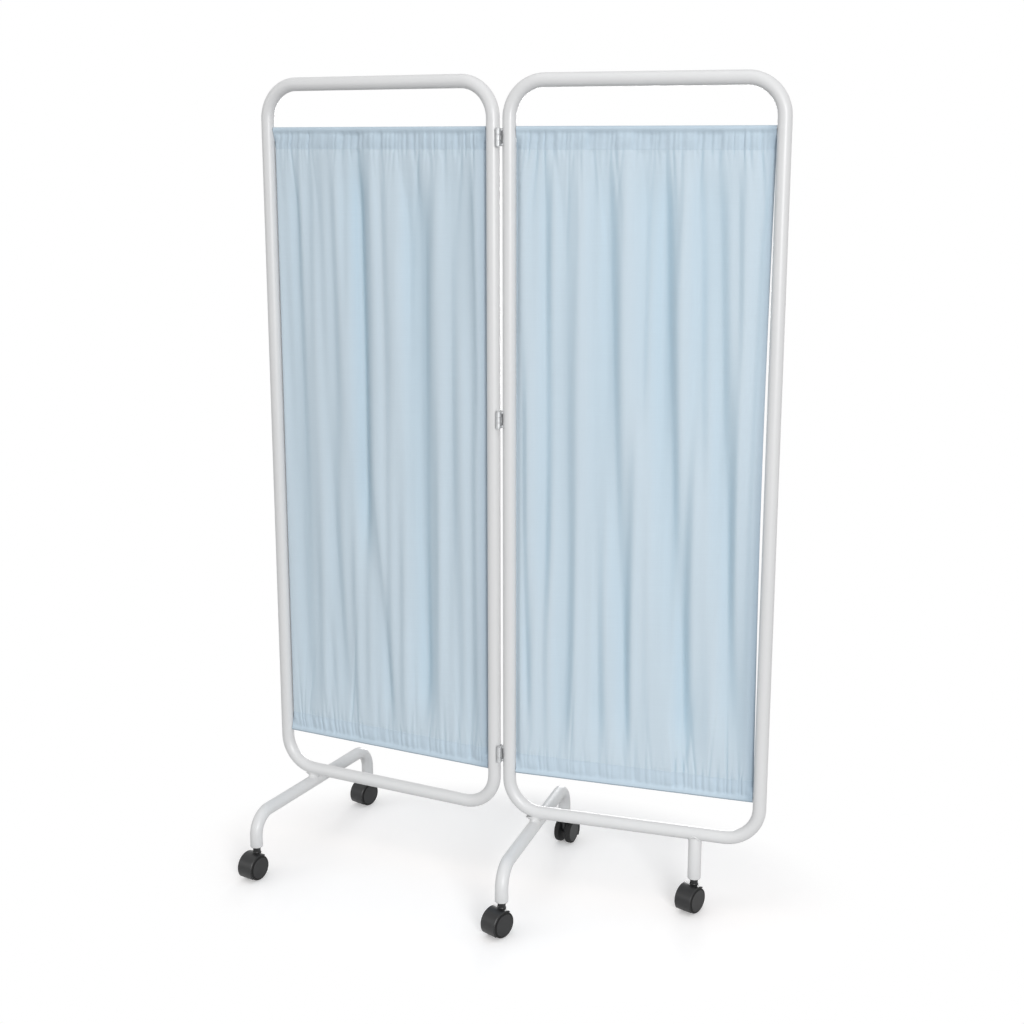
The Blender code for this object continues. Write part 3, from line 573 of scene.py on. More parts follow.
def hang_cloth(panel, seed):
    """Moves each point of a flat sheet to where the gathered curtain hangs. Returns the piece and
    its points as rows of columns."""
    side = SIDES[panel]
    stations = cloth_stations()
    count = len(stations)
    bpy.ops.mesh.primitive_grid_add(x_subdivisions=COLUMNS, y_subdivisions=count - 1, size=1)
    cloth = open_piece(panel + "_curtain_cloth")
    bpy.ops.object.mode_set(mode='OBJECT')
    flat = np.empty(len(cloth.data.vertices) * 3)
    cloth.data.vertices.foreach_get("co", flat)
    flat = flat.reshape(-1, 3)
    row = np.rint((0.5 - flat[:, 1]) * (count - 1)).astype(int)
    out, height, free = np.array(stations)[row].T
    edges = sorted((side * (NEAR + TUBE_R + CLOTH_GAP), side * (FAR - TUBE_R - CLOTH_GAP)))
    width = edges[1] - edges[0]
    across = flat[:, 0] + 0.5
    across -= EDGE_CROWD * np.sin(math.tau * across) / math.tau
    upper, lower = ROD_HEIGHTS["upper"], ROD_HEIGHTS["lower"]
    down = (upper - height) / (upper - lower)
    seam_high, seam_low = upper - HEM_DEPTH, lower + HEM_DEPTH
    inward = np.minimum(seam_high - height, height - seam_low)
    hold = HEM_HOLD[0] + (1 - HEM_HOLD[0]) * eased(inward, -4 * MM, HEM_HOLD[1])
    jog = HEM_JOG[0] * np.sin(HEM_JOG[1] * across + seed)
    jog *= 1 - eased(inward, -5 * MM, 4 * MM)
    wave = hold * (long_folds(panel, across + jog, down, width) + slow_waves(across, down, seed))
    wave += hem_pleats(across, seam_high - height, width, seed + 1)
    wave += hem_pleats(across, height - seam_low, width, seed + 2)
    nearest = np.minimum(across, 1 - across) * width
    wave = free * wave * (1 - np.exp(-(nearest / EDGE_CALM) ** 2))
    out = out + wave

    # Below its rods the cloth's edges curl back, the left one a little way behind the upright.
    fall = eased(np.minimum(upper - height, height - lower), *CURL_GROWS)
    curls = EDGE_CURLS[panel]
    for (depth, wide), reach in zip(curls, (across * width, (1 - across) * width)):
        out = out + fall * depth * np.exp(-(reach / wide) ** 2)
    beside = TUBE_R + CLOTH_GAP
    behind = np.clip(fall * curls[0][0] - HEM_BACK, 0, beside)
    tuck = beside - np.sqrt(beside ** 2 - behind ** 2)
    pull = PULL_IN[panel] * np.sin(math.pi * np.clip(down, 0, 1))
    x = edges[0] + across * width - tuck * (1 - across) - pull * across
    placed = np.stack((x, BACK + out, height), axis=1)
    cloth.data.vertices.foreach_set("co", placed.ravel())
    cloth.data.update()

    # The weave's UV map gives each row its share of the length along the cut. The second map holds
    # the painted shade: in the folds, by how deep a point lies or how steep on its right, and along
    # the right edge, where the upright shades it.
    steps = np.linalg.norm(np.diff(np.array(stations)[:, :2], axis=0), axis=1)
    reached = np.concatenate(((0,), np.cumsum(steps))) / steps.sum()
    cloth.data.uv_layers.active.name = "weave"
    fill_map(cloth, "weave", flat[:, 0] + 0.5, reached[row])

    order = np.lexsort((flat[:, 0], row))
    grid = (count, COLUMNS + 1)
    folds = wave[order].reshape(grid)
    steep = -np.gradient(folds, axis=1)
    steep = steep / np.gradient((across * width)[order].reshape(grid), axis=1)
    depth = np.empty_like(wave)
    depth[order] = (FOLD_SHADE_SHARES[0] * np.clip(folds / DEEP_FOLD, 0, 1)
                    + FOLD_SHADE_SHARES[1] * np.clip(steep / STEEP_FOLD, 0, 1)).ravel()
    # Painted shade along the right edge, where the upright beside it shades the cloth.
    shade = np.zeros_like(wave)
    for (share, wide), here in zip(EDGE_SHADES[panel], (1, eased(down, *LOWER_HALF))):
        shade += share * here * np.exp(-((1 - across) * width / wide) ** 2)
    cloth.data.uv_layers.new(name="fold_depth")
    fill_map(cloth, "fold_depth", np.clip(depth, 0, 1), shade)
    return cloth, placed[order].reshape(count, COLUMNS + 1, 3)


def even_back(cloth):
    """The painted fold shade follows the folds on the front of the cloth only. Its back has one
    even share of it.
    """
    faces = cloth.data.polygons
    normals = np.empty(len(faces) * 3)
    faces.foreach_get("normal", normals)
    corners = np.empty(len(faces), dtype=np.int32)
    faces.foreach_get("loop_total", corners)
    behind = np.repeat(normals[1::3] > 0, corners)
    layer = cloth.data.uv_layers["fold_depth"].uv
    shares = np.empty(len(behind) * 2, dtype=np.float32)
    layer.foreach_get("vector", shares)
    shares[::2][behind] = BACK_FOLD_SHADE
    layer.foreach_set("vector", shares)


def sew_line(points, offset):
    """Places along a row of cloth points, one stitch to each step, as (place, direction)."""
    line = points + np.array((0, offset, 0))
    steps = np.linalg.norm(np.diff(line, axis=0), axis=1)
    reached = np.concatenate(((0,), np.cumsum(steps)))
    stitches = []
    for at in np.arange(STITCH_STEP, reached[-1] - STITCH_STEP, STITCH_STEP):
        ends = [Vector([np.interp(at + s * STITCH_LENGTH / 2, reached, line[:, k])
                        for k in range(3)]) for s in (-1, 1)]
        stitches.append(((ends[0] + ends[1]) / 2, (ends[1] - ends[0]).normalized()))
    return stitches


def sew(name, stitches):
    """Makes one small rounded stitch and sets a copy of it at each place."""
    one = turned("one_stitch", (
        (STITCH_R * STITCH_TAPER, -STITCH_LENGTH / 2), (STITCH_R, -STITCH_LENGTH * 0.32),
        (STITCH_R, STITCH_LENGTH * 0.32), (STITCH_R * STITCH_TAPER, STITCH_LENGTH / 2)), 6, 80)
    shape = np.array([vertex.co for vertex in one.data.vertices])
    faces = [tuple(face.vertices) for face in one.data.polygons]
    bpy.data.objects.remove(one)
    corners, loops = [], []
    for place, along in stitches:
        spin = np.array(along.to_track_quat('Z', 'Y').to_matrix())
        loops += [tuple(v + len(corners) * len(shape) for v in face) for face in faces]
        corners.append(shape @ spin.T + np.array(place))
    mesh = bpy.data.meshes.new(name)
    mesh.from_pydata(np.concatenate(corners).tolist(), [], loops)
    mesh.shade_smooth()
    thread = bpy.data.objects.new(name, mesh)
    bpy.context.collection.objects.link(thread)
    return thread


def noise(group, place, scale, detail):
    """Soft noise from 0 to 1."""
    return add_node(group, "ShaderNodeTexNoise", {
        "Vector": place, "Scale": scale, "Detail": detail}).outputs["Fac"]


def ranged(tree, value, low, high, from_low=0.0, from_high=1.0, **settings):
    """A value taken from one range to another."""
    return add_node(tree, "ShaderNodeMapRange", {
        "Value": value, "From Min": from_low, "From Max": from_high, "To Min": low,
        "To Max": high}, **settings).outputs[0]


def plain_weave():
    """Warp and weft of a plain weave with uneven yarns, on the cloth's own UV map in metres. The
    second map gives the painted shade in the folds and along the right edge."""
    group, given, made = new_group("plain_weave", (
        "Main colour", "Hem colour", "Fold colour", "Crease colour", "Wide", "Long", "Pitch",
        "Hem share"))
    place = add_node(group, "ShaderNodeUVMap", uv_map="weave").outputs[0]
    parts = add_node(group, "ShaderNodeSeparateXYZ", {0: place}).outputs
    folds = add_node(group, "ShaderNodeUVMap", uv_map="fold_depth").outputs[0]
    depth = add_node(group, "ShaderNodeSeparateXYZ", {0: folds}).outputs

    threads = []
    for axis, size in (("X", "Wide"), ("Y", "Long")):
        count = maths(group, 'DIVIDE', given[size], given["Pitch"])
        angle = maths(group, 'MULTIPLY', maths(group, 'MULTIPLY', parts[axis], count), math.pi)
        threads.append(maths(group, 'SINE', angle))
    cross = maths(group, 'MULTIPLY', *threads)
    slubs = []
    for stretch in ((6, 900, 1), (620, 9, 1)):
        grown = add_node(group, "ShaderNodeVectorMath", {0: place, 1: stretch},
                         operation='MULTIPLY').outputs[0]
        slubs.append(noise(group, grown, 1.0, 1))
    yarn = maths(group, 'ADD', *slubs)
    cloudy = noise(group, place, 7, 2)
    level = ranged(group, maths(group, 'ADD', yarn, cloudy), 0.975, 1.02, 0.9, 2.1)

    from_middle = maths(group, 'ABSOLUTE', maths(group, 'SUBTRACT', parts["Y"], 0.5))
    hem = maths(group, 'GREATER_THAN', from_middle,
                maths(group, 'SUBTRACT', 0.5, given["Hem share"]))
    # Painted shade in the folds: darker and bluer by the second map's first share.
    single = blended(group, depth["X"], given["Main colour"], given["Fold colour"])
    tint = blended(group, hem, single, given["Hem colour"])
    # A painted shade line along the lower pocket's crease; the painted shade of the right edge
    # joins it.
    fold_line = maths(group, 'MULTIPLY_ADD', given["Hem share"], -0.5, 1.0)
    from_line = maths(group, 'ABSOLUTE', maths(group, 'SUBTRACT', parts["Y"], fold_line))
    crease = ranged(group, from_line, 1.0, 0.0, *CREASE_SHADE)
    darker = maths(group, 'MAXIMUM', crease, depth["Y"])
    painted_shade = blended(group, darker, tint, given["Crease colour"])
    lit = add_node(group, "ShaderNodeVectorMath", {0: painted_shade, "Scale": level},
                   operation='SCALE').outputs[0]
    relief = maths(group, 'MULTIPLY_ADD', yarn, 0.5, cross)
    return put_out(group, made, lit, ranged(group, cloudy, 0.82, 0.95), relief)


# The cloth is matt with a faint sheen. The hem's two layers let less light through, so it is
# deeper. The darker line at the lower pocket's crease and along the right edge is painted shade,
# and the folds get a darker, bluer painted shade, for the light that reaches them through the
# cloth beside them.
CURTAIN_CLOTH = finish_of("curtain_cloth", plain_weave(), {
    "Main colour": (0.570, 0.669, 0.744), "Hem colour": (0.524, 0.632, 0.720),
    "Fold colour": (0.494, 0.648, 0.756), "Crease colour": (0.24, 0.32, 0.40),
    "Wide": CLOTH_FLAT[0], "Long": CLOTH_FLAT[1], "Pitch": THREAD_PITCH, "Hem share": HEM_SHARE},
    0.05 * MM, 0.6, Specular_IOR_Level=0.25, Sheen_Weight=0.12, Sheen_Roughness=0.5)
THREAD = grained("sewing_thread", (0.50, 0.62, 0.70), (0.42, 0.54, 0.62), patches=400, grains=3000,
                 gloss=0.7, change=0.1, bump=0.02 * MM)

for number, panel in enumerate(SIDES):
    cloth, woven = hang_cloth(panel, 11 + 20 * number)
    front_seam = TAIL_ROWS + POCKET_ROWS + len(HEM_SECTION)
    back_seam = len(woven) - 1 - front_seam
    stitches = []
    for row in (front_seam, back_seam):
        stitches += sew_line(woven[row], -STITCH_LIFT)
        stitches += sew_line(woven[row] + np.array((0, 2 * HEM_BACK, 0)), STITCH_LIFT)
    thread = sew(panel + "_curtain_stitching", stitches)
    finish_with(cloth, 'SOLIDIFY', thickness=CLOTH_THICK, offset=0)
    even_back(cloth)
    bpy.ops.object.shade_smooth()
    seat(cloth, STANCES[panel], panel + "_panel", CURTAIN_CLOTH, "curtain_cloth",
         panel + "_curtain")
    seat(thread, STANCES[panel], panel + "_panel", THREAD, "curtain_cloth")


# Hinges. Three steel butt hinges, left bare, with three rolled knuckles on a headed pin. The right
# panel's leaf has the two outer knuckles and the left panel's the middle one, and each leaf is
# tacked to its upright at both ends.
HINGE_GAP = 0.3 * MM
KNUCKLE_R = 4.3 * MM
PIN_R = 2 * MM
LEAF_THICK = 2 * MM
LEAF_REACH = 17 * MM
HEAD_R = 3.2 * MM
HEAD_THICK = 1.4 * MM
HEAD_STEPS = ((0.55, 1.0), (0.85, 0.8), (1.0, 0.4))    # its dome, as shares of these two
KNUCKLE_EDGE = 0.25 * MM
LEAF_FRONT = 0.2 * KNUCKLE_R    # where the plate starts, behind the pin's axis
LEAF_EDGE = 0.3 * MM
TACK_R = 1.8 * MM
TACK_PLACE = (0.9 * MM, 7 * MM, 2.6 * MM)    # out from the leaf, ahead of the tube, in from the end
low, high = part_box("right_hinge_leaf_top")
HINGE_HEIGHT = high.z - low.z

BARE_STEEL = grained("bare_steel", (0.605, 0.61, 0.615), (0.46, 0.47, 0.48), patches=220,
                     grains=1800, gloss=0.58, change=0.20, bump=0.01 * MM, Metallic=1.0)


def cut_with(piece, tool, operation='DIFFERENCE'):
    """Cuts a piece with a tool shape, or unites it with one, and puts the tool away."""
    finish_with(piece, 'BOOLEAN', object=tool, operation=operation, solver='EXACT')
    bpy.data.objects.remove(tool)


def join_pieces(name, pieces):
    """Joins shapes that are one piece of metal."""
    bpy.ops.object.select_all(action='DESELECT')
    for piece in pieces:
        piece.select_set(True)
    bpy.context.view_layer.objects.active = pieces[0]
    bpy.ops.object.join()
    pieces[0].name = pieces[0].data.name = name
    return pieces[0]


def rolled_knuckle(low, high):
    """One knuckle: a short tube round the pin with its edges broken."""
    knuckle = turned("knuckle", (
        (KNUCKLE_R - KNUCKLE_EDGE, low), (KNUCKLE_R, low + KNUCKLE_EDGE),
        (KNUCKLE_R, high - KNUCKLE_EDGE), (KNUCKLE_R - KNUCKLE_EDGE, high)), 40)
    bpy.ops.mesh.primitive_cylinder_add(vertices=32, radius=PIN_R + HINGE_GAP / 2,
                                        depth=3 * (high - low), location=(0, 0, (low + high) / 2))
    cut_with(knuckle, bpy.context.active_object)
    return knuckle


def hinge_leaf(name, side, centre, spans):
    """A plate that lies against its upright, notched for the other leaf's knuckles, with its own
    knuckles and two tacks of weld."""
    inner, outer = KNUCKLE_R - LEAF_THICK, KNUCKLE_R
    bpy.ops.mesh.primitive_cube_add(size=1, scale=(
        outer - inner, LEAF_REACH - LEAF_FRONT, HINGE_HEIGHT),
        location=(side * (inner + outer) / 2, (LEAF_FRONT + LEAF_REACH) / 2, centre))
    plate = close_piece(open_piece(name))
    third = HINGE_HEIGHT / 3
    notches = ((0, third),) if side > 0 else tuple(
        (end * (third + HINGE_GAP / 2), third + HINGE_GAP) for end in (-1, 1))
    for off, tall in notches:
        bpy.ops.mesh.primitive_cube_add(size=1, scale=(
            4 * KNUCKLE_R, KNUCKLE_R + HINGE_GAP + LEAF_FRONT, tall),
            location=(0, (KNUCKLE_R + HINGE_GAP) / 2, centre + off))
        cut_with(plate, bpy.context.active_object)
    finish_with(plate, 'BEVEL', width=LEAF_EDGE, segments=2, limit_method='ANGLE',
                angle_limit=math.radians(50))
    parts = [plate] + [rolled_knuckle(low, high) for low, high in spans]
    for end in (-1, 1):
        bpy.ops.mesh.primitive_uv_sphere_add(segments=20, ring_count=12, radius=TACK_R, scale=(
            1, 0.8, 1.5), location=(side * (outer + TACK_PLACE[0]), BACK - TACK_PLACE[1],
                                    centre + end * (HINGE_HEIGHT / 2 - TACK_PLACE[2])))
        parts.append(close_piece(open_piece("tack"), 60))
    leaf = join_pieces(name, parts)
    bpy.ops.object.shade_smooth_by_angle(angle=math.radians(35))
    return leaf


for place in ("top", "middle", "bottom"):
    low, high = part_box("hinge_pin_" + place)
    centre = (low.z + high.z) / 2
    half, third = HINGE_HEIGHT / 2, HINGE_HEIGHT / 3
    outer_spans = ((centre - half, centre - half + third), (centre + half - third, centre + half))
    middle_span = ((centre - half + third + HINGE_GAP, centre + half - third - HINGE_GAP),)
    for panel, side, spans in (("right", 1, outer_spans), ("left", -1, middle_span)):
        leaf = hinge_leaf(f"{panel}_hinge_{place}", side, centre, spans)
        seat(leaf, STANCES[panel], panel + "_panel", BARE_STEEL, "bare_steel",
             f"{panel}_hinge_leaf_{place}")
    reach = half + HINGE_GAP
    head = [(HEAD_R * wide, reach + HEAD_THICK * tall) for wide, tall in HEAD_STEPS]
    head += [(HEAD_R, reach), (PIN_R, reach)]
    pin = turned(f"hinge_pin_{place}_headed", [(radius, centre - off) for radius, off in head]
                 + [(radius, centre + off) for radius, off in head[::-1]], 32)
    seat(pin, STANCES["right"], "right_panel", BARE_STEEL, "bare_steel", "hinge_pin_" + place)


# Caster sockets. A black nylon bush pressed into each leg. Only its thin flange shows, under the
# cut end of the tube, and the steel stem turns inside it.
SOCKET_FLANGE_R = 11.5 * MM
SOCKET_LENGTH = 24 * MM
STEM_R = 4 * MM
SOCKET_EDGE = 0.3 * MM
NYLON_SHINE = 0.42

BLACK_NYLON = grained("black_nylon", (0.016, 0.0162, 0.0168), (0.012, 0.0122, 0.0128), patches=40,
                      grains=1500, gloss=0.38, change=0.12, bump=0.02 * MM,
                      Specular_IOR_Level=NYLON_SHINE)
WHEEL_NYLON = grained("wheel_nylon", (0.014, 0.0142, 0.0148), (0.011, 0.0112, 0.0118), patches=55,
                      grains=1800, gloss=0.46, change=0.16, bump=0.02 * MM,
                      Specular_IOR_Level=NYLON_SHINE)
TREAD_RUBBER = grained("tread_rubber", (0.006, 0.006, 0.006), (0.004, 0.004, 0.004), patches=70,
                       grains=1500, gloss=0.85, change=0.1, bump=0.03 * MM)

CASTERS = ("left_front", "left_back", "right_front", "right_back", "stub")
ROLLS = {joint["name"]: joint for joint in frame["joints"] if "_roll_" in joint["name"]}
caster_places = {}
for name in CASTERS:
    low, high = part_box(name + "_stem")
    axis = Vector(ROLLS[name + "_roll_a"]["axis"])
    stem = (low + high) / 2
    caster_places[name] = (Matrix.Translation((stem.x, stem.y, 0))
                           @ Matrix.Rotation(math.atan2(axis.y, axis.x), 4, 'Z'))

flange_top = FOOT - HINGE_GAP
flange_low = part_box("stub_caster_socket")[0].z
sleeve_r = TUBE_R - TUBE_WALL - HINGE_GAP
socket_master = turned("socket_master", (
    (STEM_R + HINGE_GAP, flange_low), (SOCKET_FLANGE_R - SOCKET_EDGE, flange_low),
    (SOCKET_FLANGE_R, flange_low + SOCKET_EDGE),
    (SOCKET_FLANGE_R, flange_top), (sleeve_r, flange_top), (sleeve_r, flange_top + SOCKET_LENGTH),
    (STEM_R + HINGE_GAP, flange_top + SOCKET_LENGTH)), 48)
bpy.ops.mesh.primitive_cylinder_add(vertices=32, radius=STEM_R + HINGE_GAP, depth=200 * MM,
                                    location=(0, 0, FOOT))
cut_with(socket_master, bpy.context.active_object)


def copy_of(master, name):
    """A copy of a master shape with a mesh of its own."""
    piece = master.copy()
    piece.data = master.data.copy()
    piece.name = piece.data.name = name
    bpy.context.collection.objects.link(piece)
    return piece


for name in CASTERS:
    body = ("left" if name.startswith("left") else "right") + "_panel"
    seat(copy_of(socket_master, name + "_socket_bush"), caster_places[name], body, BLACK_NYLON,
         "caster_black", name + "_caster_socket")
bpy.data.objects.remove(socket_master)


# Caster hoods. One nylon moulding each: a fender round both treads with rounded shoulders, the web
# between the wheels, and the boss and neck that take the stem. The fender is closed at the back
# and open towards the front and the floor.
WHEEL_R = 25 * MM
TRAIL = 10 * MM
WHEEL_GAP = 12.6 * MM
WHEEL_WIDTH = 12 * MM
HOOD_OUTER = 27.7 * MM
HOOD_WALL = 1.8 * MM
HOOD_SHOULDER = 1.6 * MM
HOOD_LOW = -38        # the hood's two ends about the axle, in degrees from straight back
HOOD_HIGH = 122
WEB_THICK = 6 * MM
WEB_HUB_R = 8 * MM
BOSS_R = 5.8 * MM
BOSS_LOW = 33 * MM
BOSS_TOP = 24 * MM    # over the axle
NECK_R = 7.5 * MM
NECK_EDGE = 0.5 * MM
NECK_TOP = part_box("stub_hood")[1].z
NECK_COLLAR = (       # round the neck's foot: out past it, and over the axle
    (1.2 * MM, 25 * MM), (1.0 * MM, 27 * MM), (0.2 * MM, 28.2 * MM), (0, 29.4 * MM),
)

half_width = WHEEL_GAP / 2 + WHEEL_WIDTH
axle = Vector((0, TRAIL, WHEEL_R))


def fender():
    """A strip across the hood's width is swept about the axle and given its wall."""
    bpy.ops.mesh.primitive_grid_add(x_subdivisions=24, y_subdivisions=1, size=1)
    strip = open_piece("hood_master")
    bpy.ops.mesh.select_all(action='DESELECT')
    bpy.ops.object.mode_set(mode='OBJECT')
    for vertex in strip.data.vertices:
        vertex.select = vertex.co.y < 0
    bpy.ops.object.mode_set(mode='EDIT')
    bpy.ops.mesh.delete(type='VERT')
    bpy.ops.object.mode_set(mode='OBJECT')
    start = math.radians(HOOD_LOW)
    for vertex in strip.data.vertices:
        x = 2 * half_width * vertex.co.x
        over = max(0.0, abs(x) - (half_width - HOOD_SHOULDER))
        drop = HOOD_SHOULDER - math.sqrt(max(HOOD_SHOULDER ** 2 - over ** 2, 0))
        radius = HOOD_OUTER - drop
        vertex.co = (x, TRAIL + radius * math.cos(start), WHEEL_R + radius * math.sin(start))
    bpy.ops.object.mode_set(mode='EDIT')
    bpy.ops.mesh.select_all(action='SELECT')
    bpy.ops.mesh.spin(steps=48, angle=-math.radians(HOOD_HIGH - HOOD_LOW), center=axle,
                      axis=(1, 0, 0))
    close_piece(strip)
    outward = sum((face.center - axle).dot(face.normal) for face in strip.data.polygons)
    finish_with(strip, 'SOLIDIFY', thickness=HOOD_WALL, offset=-1 if outward > 0 else 1)
    finish_with(strip, 'BEVEL', width=CUT_EDGE, segments=2, limit_method='ANGLE',
                angle_limit=math.radians(55))
    return strip


def web():
    """The plate between the wheels: a disc cut to the fender's sector, with the axle's hub."""
    disc = turned("web", ((HOOD_OUTER - HOOD_WALL / 2, -WEB_THICK / 2),
                          (HOOD_OUTER - HOOD_WALL / 2, WEB_THICK / 2)), 96)
    disc.data.transform(Matrix.Translation(axle) @ Matrix.Rotation(math.pi / 2, 4, 'Y'))
    bpy.ops.object.mode_set(mode='EDIT')
    for angle, keep in ((HOOD_LOW, 1), (HOOD_HIGH, -1)):
        edge = math.radians(angle)
        bpy.ops.mesh.select_all(action='SELECT')
        normal = Vector((0, -math.sin(edge), math.cos(edge))) * keep
        bpy.ops.mesh.bisect(plane_co=axle - normal * WEB_HUB_R * 0.4, plane_no=normal,
                            use_fill=True, clear_inner=True)
    close_piece(disc)
    hub = turned("hub", ((WEB_HUB_R, -WEB_THICK / 2), (WEB_HUB_R, WEB_THICK / 2)), 40)
    hub.data.transform(Matrix.Translation(axle) @ Matrix.Rotation(math.pi / 2, 4, 'Y'))
    return disc, hub


hood_master = fender()
neck = turned("neck", [(BOSS_R, BOSS_LOW), (BOSS_R, WHEEL_R + BOSS_TOP)] + [
    (NECK_R + out, WHEEL_R + over) for out, over in NECK_COLLAR] + [
    (NECK_R, NECK_TOP - NECK_EDGE), (NECK_R - NECK_EDGE, NECK_TOP)], 48)
for part in (*web(), neck):
    cut_with(hood_master, part, 'UNION')
for name in CASTERS:
    hood = copy_of(hood_master, name + "_hood_moulding")
    seat(hood, caster_places[name], name + "_swivel", BLACK_NYLON, "caster_black", name + "_hood")
    hood.select_set(True)
    bpy.context.view_layer.objects.active = hood
    bpy.ops.object.shade_smooth_by_angle(angle=math.radians(35))
    hood.select_set(False)
bpy.data.objects.remove(hood_master)


# Caster wheels. Two nylon wheels with a black rubber tread to a caster. The tread's shoulder is set
# back, and a flat cap with a fine raised rim stands out. Each turns by itself on the hidden axle.
WHEEL_EDGE = 1.6 * MM
SHOULDER = 2.6 * MM
CAP_RISE = 1.6 * MM
CAP_RIM = 1.1 * MM
CAP_DISH = 0.35 * MM
CAP_MIDDLE = 2 * MM
CAP_GROOVE = (0.4 * MM, 0.3 * MM)    # round its foot: how wide and how high
CAP_ROUND = (                        # over its edge: in from the side, and in from the face
    (0, 0.6 * MM), (0.2 * MM, 0.18 * MM), (0.6 * MM, 0),
)
TREAD_ROUND = 0.3 * WHEEL_EDGE
HUB_R = 6 * MM
BORE_R = 3.3 * MM

inside = WHEEL_GAP / 2
outside = inside + WHEEL_WIDTH
shoulder = outside - CAP_RISE
cap_r = WHEEL_R - WHEEL_EDGE - SHOULDER

# Turned from the bore out over the hub, round the tread, and in over the cap and its rim.
wheel_master = turned("wheel_master", [
    (BORE_R, WEB_THICK / 2 + HINGE_GAP), (HUB_R, WEB_THICK / 2 + HINGE_GAP), (HUB_R, inside),
    (WHEEL_R - WHEEL_EDGE, inside), (WHEEL_R - TREAD_ROUND, inside + TREAD_ROUND),
    (WHEEL_R, inside + WHEEL_EDGE), (WHEEL_R, shoulder - WHEEL_EDGE),
    (WHEEL_R - TREAD_ROUND, shoulder - TREAD_ROUND), (WHEEL_R - WHEEL_EDGE, shoulder),
    (cap_r + CAP_GROOVE[0], shoulder), (cap_r, shoulder + CAP_GROOVE[1])] + [
    (cap_r - side, outside - face) for side, face in CAP_ROUND] + [
    (cap_r - CAP_RIM, outside), (cap_r - CAP_RIM - CAP_DISH, outside - CAP_DISH),
    (CAP_MIDDLE, outside - CAP_DISH)], 96)
tread = [face.index for face in wheel_master.data.polygons
         if math.hypot(face.center.x, face.center.y) > cap_r + 0.1 * MM]
for name in CASTERS:
    for letter, outward in (("a", -1), ("b", 1)):
        wheel = copy_of(wheel_master, f"{name}_wheel_{letter}_moulding")
        lay = Matrix.Translation(axle) @ Matrix.Rotation(outward * math.pi / 2, 4, 'Y')
        seat(wheel, caster_places[name] @ lay, f"{name}_wheel_{letter}", WHEEL_NYLON,
             "caster_wheel", f"{name}_wheel_{letter}")
        wheel.data.materials.append(TREAD_RUBBER)
        for index in tread:
            wheel.data.polygons[index].material_index = 1
bpy.data.objects.remove(wheel_master)


# Stems and axles. Turned steel, zinc plated, hidden in the sockets and hubs. Their solids are right
# as they are, so they only get their metal.
for name in CASTERS:
    for part in ("stem", "axle"):
        node = frame["nodes"][f"{name}_{part}"]
        node.data.materials.clear()
        node.data.materials.append(ZINC)


# Studio. A plain white floor that keeps the soft shadow near the object, a white surround, and four
# wide lights: the main one from the front right, and weak ones overhead, on the left and behind.
WHITE = (1, 1, 1)
FLOOR_WHITE = (0.970, 0.956, 0.952)    # a touch warm, against the blue light from the cloth
FLOOR_GLOW = 0.15
SHADOW_REACH = (0.72, 0.46, 1)    # half the length and depth of the floor that keeps a shadow
SHADOW_FADE = (0.72, 1.0)         # as shares of that reach
FLOOR_BOUNCE = (0.54, 0.18)       # how pale the floor is to the light, near by and further off
BOUNCE_FADE = (0.6, 1.8)
SURROUND_LIGHT = 0.56
LIGHTS = (    # each with its place, what it points at, its width and its power
    ("overhead_light", (-0.1, -0.7, 4.2), (0, 0.05, 0.3), 3.0, 16),
    ("front_light", (2.75, -4.46, 1.8), (0, 0, 0.8), 2.0, 170),
    ("left_light", (-4.0, -3.0, 1.9), (0, 0, 0.8), 2.6, 24),
    ("back_light", (-0.6, 4.8, 0.9), (0, 0, 0.8), 1.7, 72),
)


def shown_rays(tree):
    """1 for the rays that meet the plain white background: from the camera and off metal."""
    rays = add_node(tree, "ShaderNodeLightPath").outputs
    off_metal = maths(tree, 'MAXIMUM', rays["Is Glossy Ray"], rays["Is Transmission Ray"])
    return maths(tree, 'MAXIMUM', rays["Is Camera Ray"], off_metal)


def plain(tree, kind, colour, strength=None):
    """A plain shader of one colour: a matt floor, or a glow or a background of this strength."""
    sockets = {"Color": (*colour, 1)}
    if strength is not None:
        sockets["Strength"] = strength
    return add_node(tree, kind, sockets).outputs[0]


def either(tree, share, first, second):
    """The first shader where the share is 0, and the second where it is 1."""
    return add_node(tree, "ShaderNodeMixShader", {0: share, 1: first, 2: second}).outputs[0]


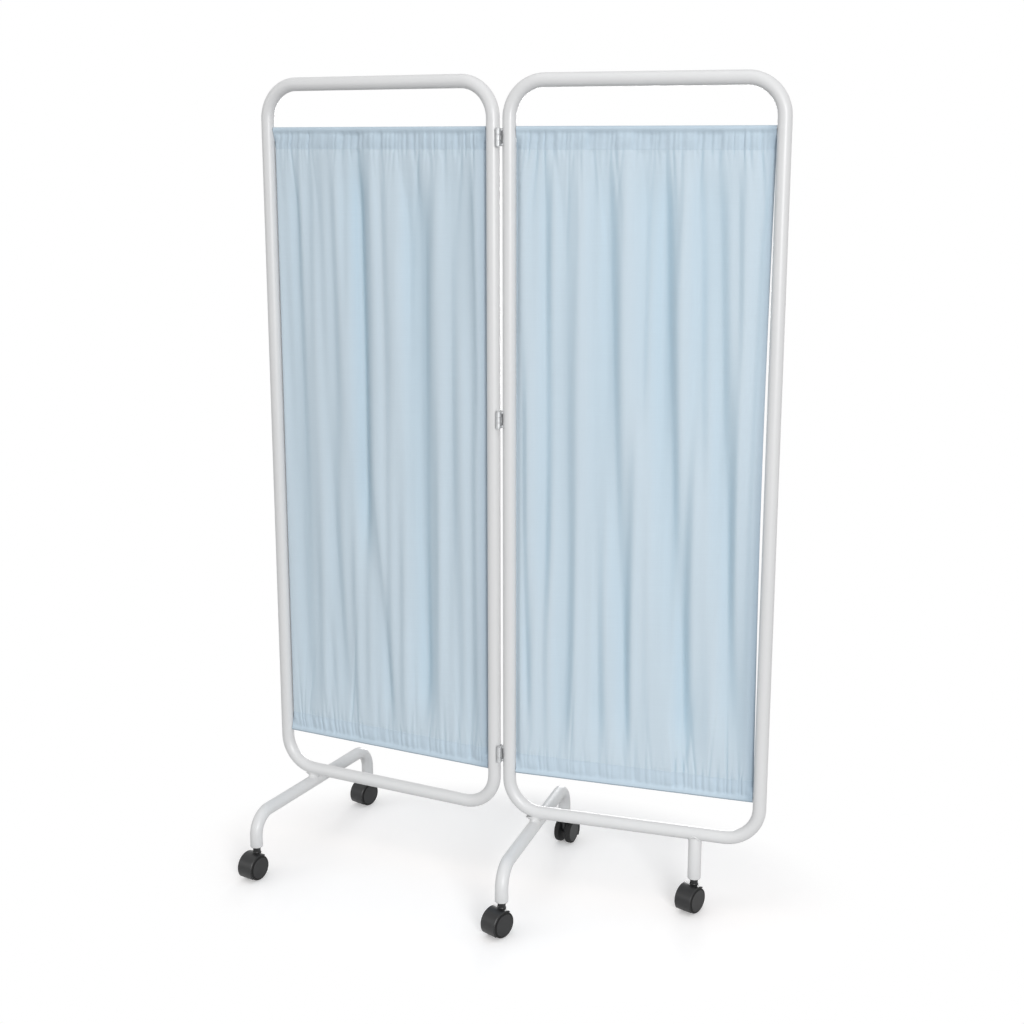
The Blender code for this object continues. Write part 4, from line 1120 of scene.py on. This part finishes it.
bpy.ops.mesh.primitive_plane_add(size=40, location=(0, 0, 0))
floor = bpy.context.active_object
floor.name = "studio_floor"
studio = bpy.data.materials.new("studio_floor")
studio.use_nodes = True
tree = studio.node_tree
tree.nodes.clear()
place = add_node(tree, "ShaderNodeTexCoord").outputs["Object"]
scaled = add_node(tree, "ShaderNodeVectorMath", {0: place, 1: SHADOW_REACH}, operation='DIVIDE')
distance = add_node(tree, "ShaderNodeVectorMath", {0: scaled.outputs[0]},
                    operation='LENGTH').outputs["Value"]
near_by, further_off = [plain(tree, "ShaderNodeBsdfDiffuse", (pale,) * 3)
                       for pale in FLOOR_BOUNCE]
lighting = either(tree, ranged(tree, distance, 0.0, 1.0, *BOUNCE_FADE), near_by, further_off)
shaded = add_node(tree, "ShaderNodeAddShader", {
    0: plain(tree, "ShaderNodeBsdfDiffuse", FLOOR_WHITE),
    1: plain(tree, "ShaderNodeEmission", WHITE, FLOOR_GLOW)}).outputs[0]
far_off = ranged(tree, distance, 0.0, 1.0, *SHADOW_FADE, interpolation_type='SMOOTHSTEP')
shown = either(tree, far_off, shaded, plain(tree, "ShaderNodeEmission", WHITE, 1.0))
add_node(tree, "ShaderNodeOutputMaterial", {
    "Surface": either(tree, shown_rays(tree), lighting, shown)})
floor.data.materials.append(studio)

world = bpy.data.worlds.new("studio_surround")
bpy.context.scene.world = world
world.use_nodes = True
tree = world.node_tree
tree.nodes.clear()
soft, white = [plain(tree, "ShaderNodeBackground", WHITE, much) for much in (SURROUND_LIGHT, 1.0)]
add_node(tree, "ShaderNodeOutputWorld", {"Surface": either(tree, shown_rays(tree), soft, white)})

for name, place, aim, size, power in LIGHTS:
    lamp = bpy.data.lights.new(name, 'AREA')
    lamp.shape = 'DISK'
    lamp.size = size
    lamp.energy = power
    holder = bpy.data.objects.new(name, lamp)
    holder.location = place
    holder.rotation_euler = (Vector(aim) - Vector(place)).to_track_quat('-Z', 'Y').to_euler()
    bpy.context.collection.objects.link(holder)


# Camera. It stands in front of the right panel's free end at about head height, and looks a little
# down and to the left.
camera = bpy.data.cameras.new("camera")
camera.lens = 55.87
camera.sensor_width = 36
camera.shift_y = -0.0046
holder = bpy.data.objects.new("camera", camera)
holder.location = (0.920, -2.771, 1.421)
holder.rotation_euler = (math.radians(77.09), 0, math.radians(18.17))
bpy.context.collection.objects.link(holder)
bpy.context.scene.camera = holder
bpy.context.scene.view_settings.view_transform = 'Standard'
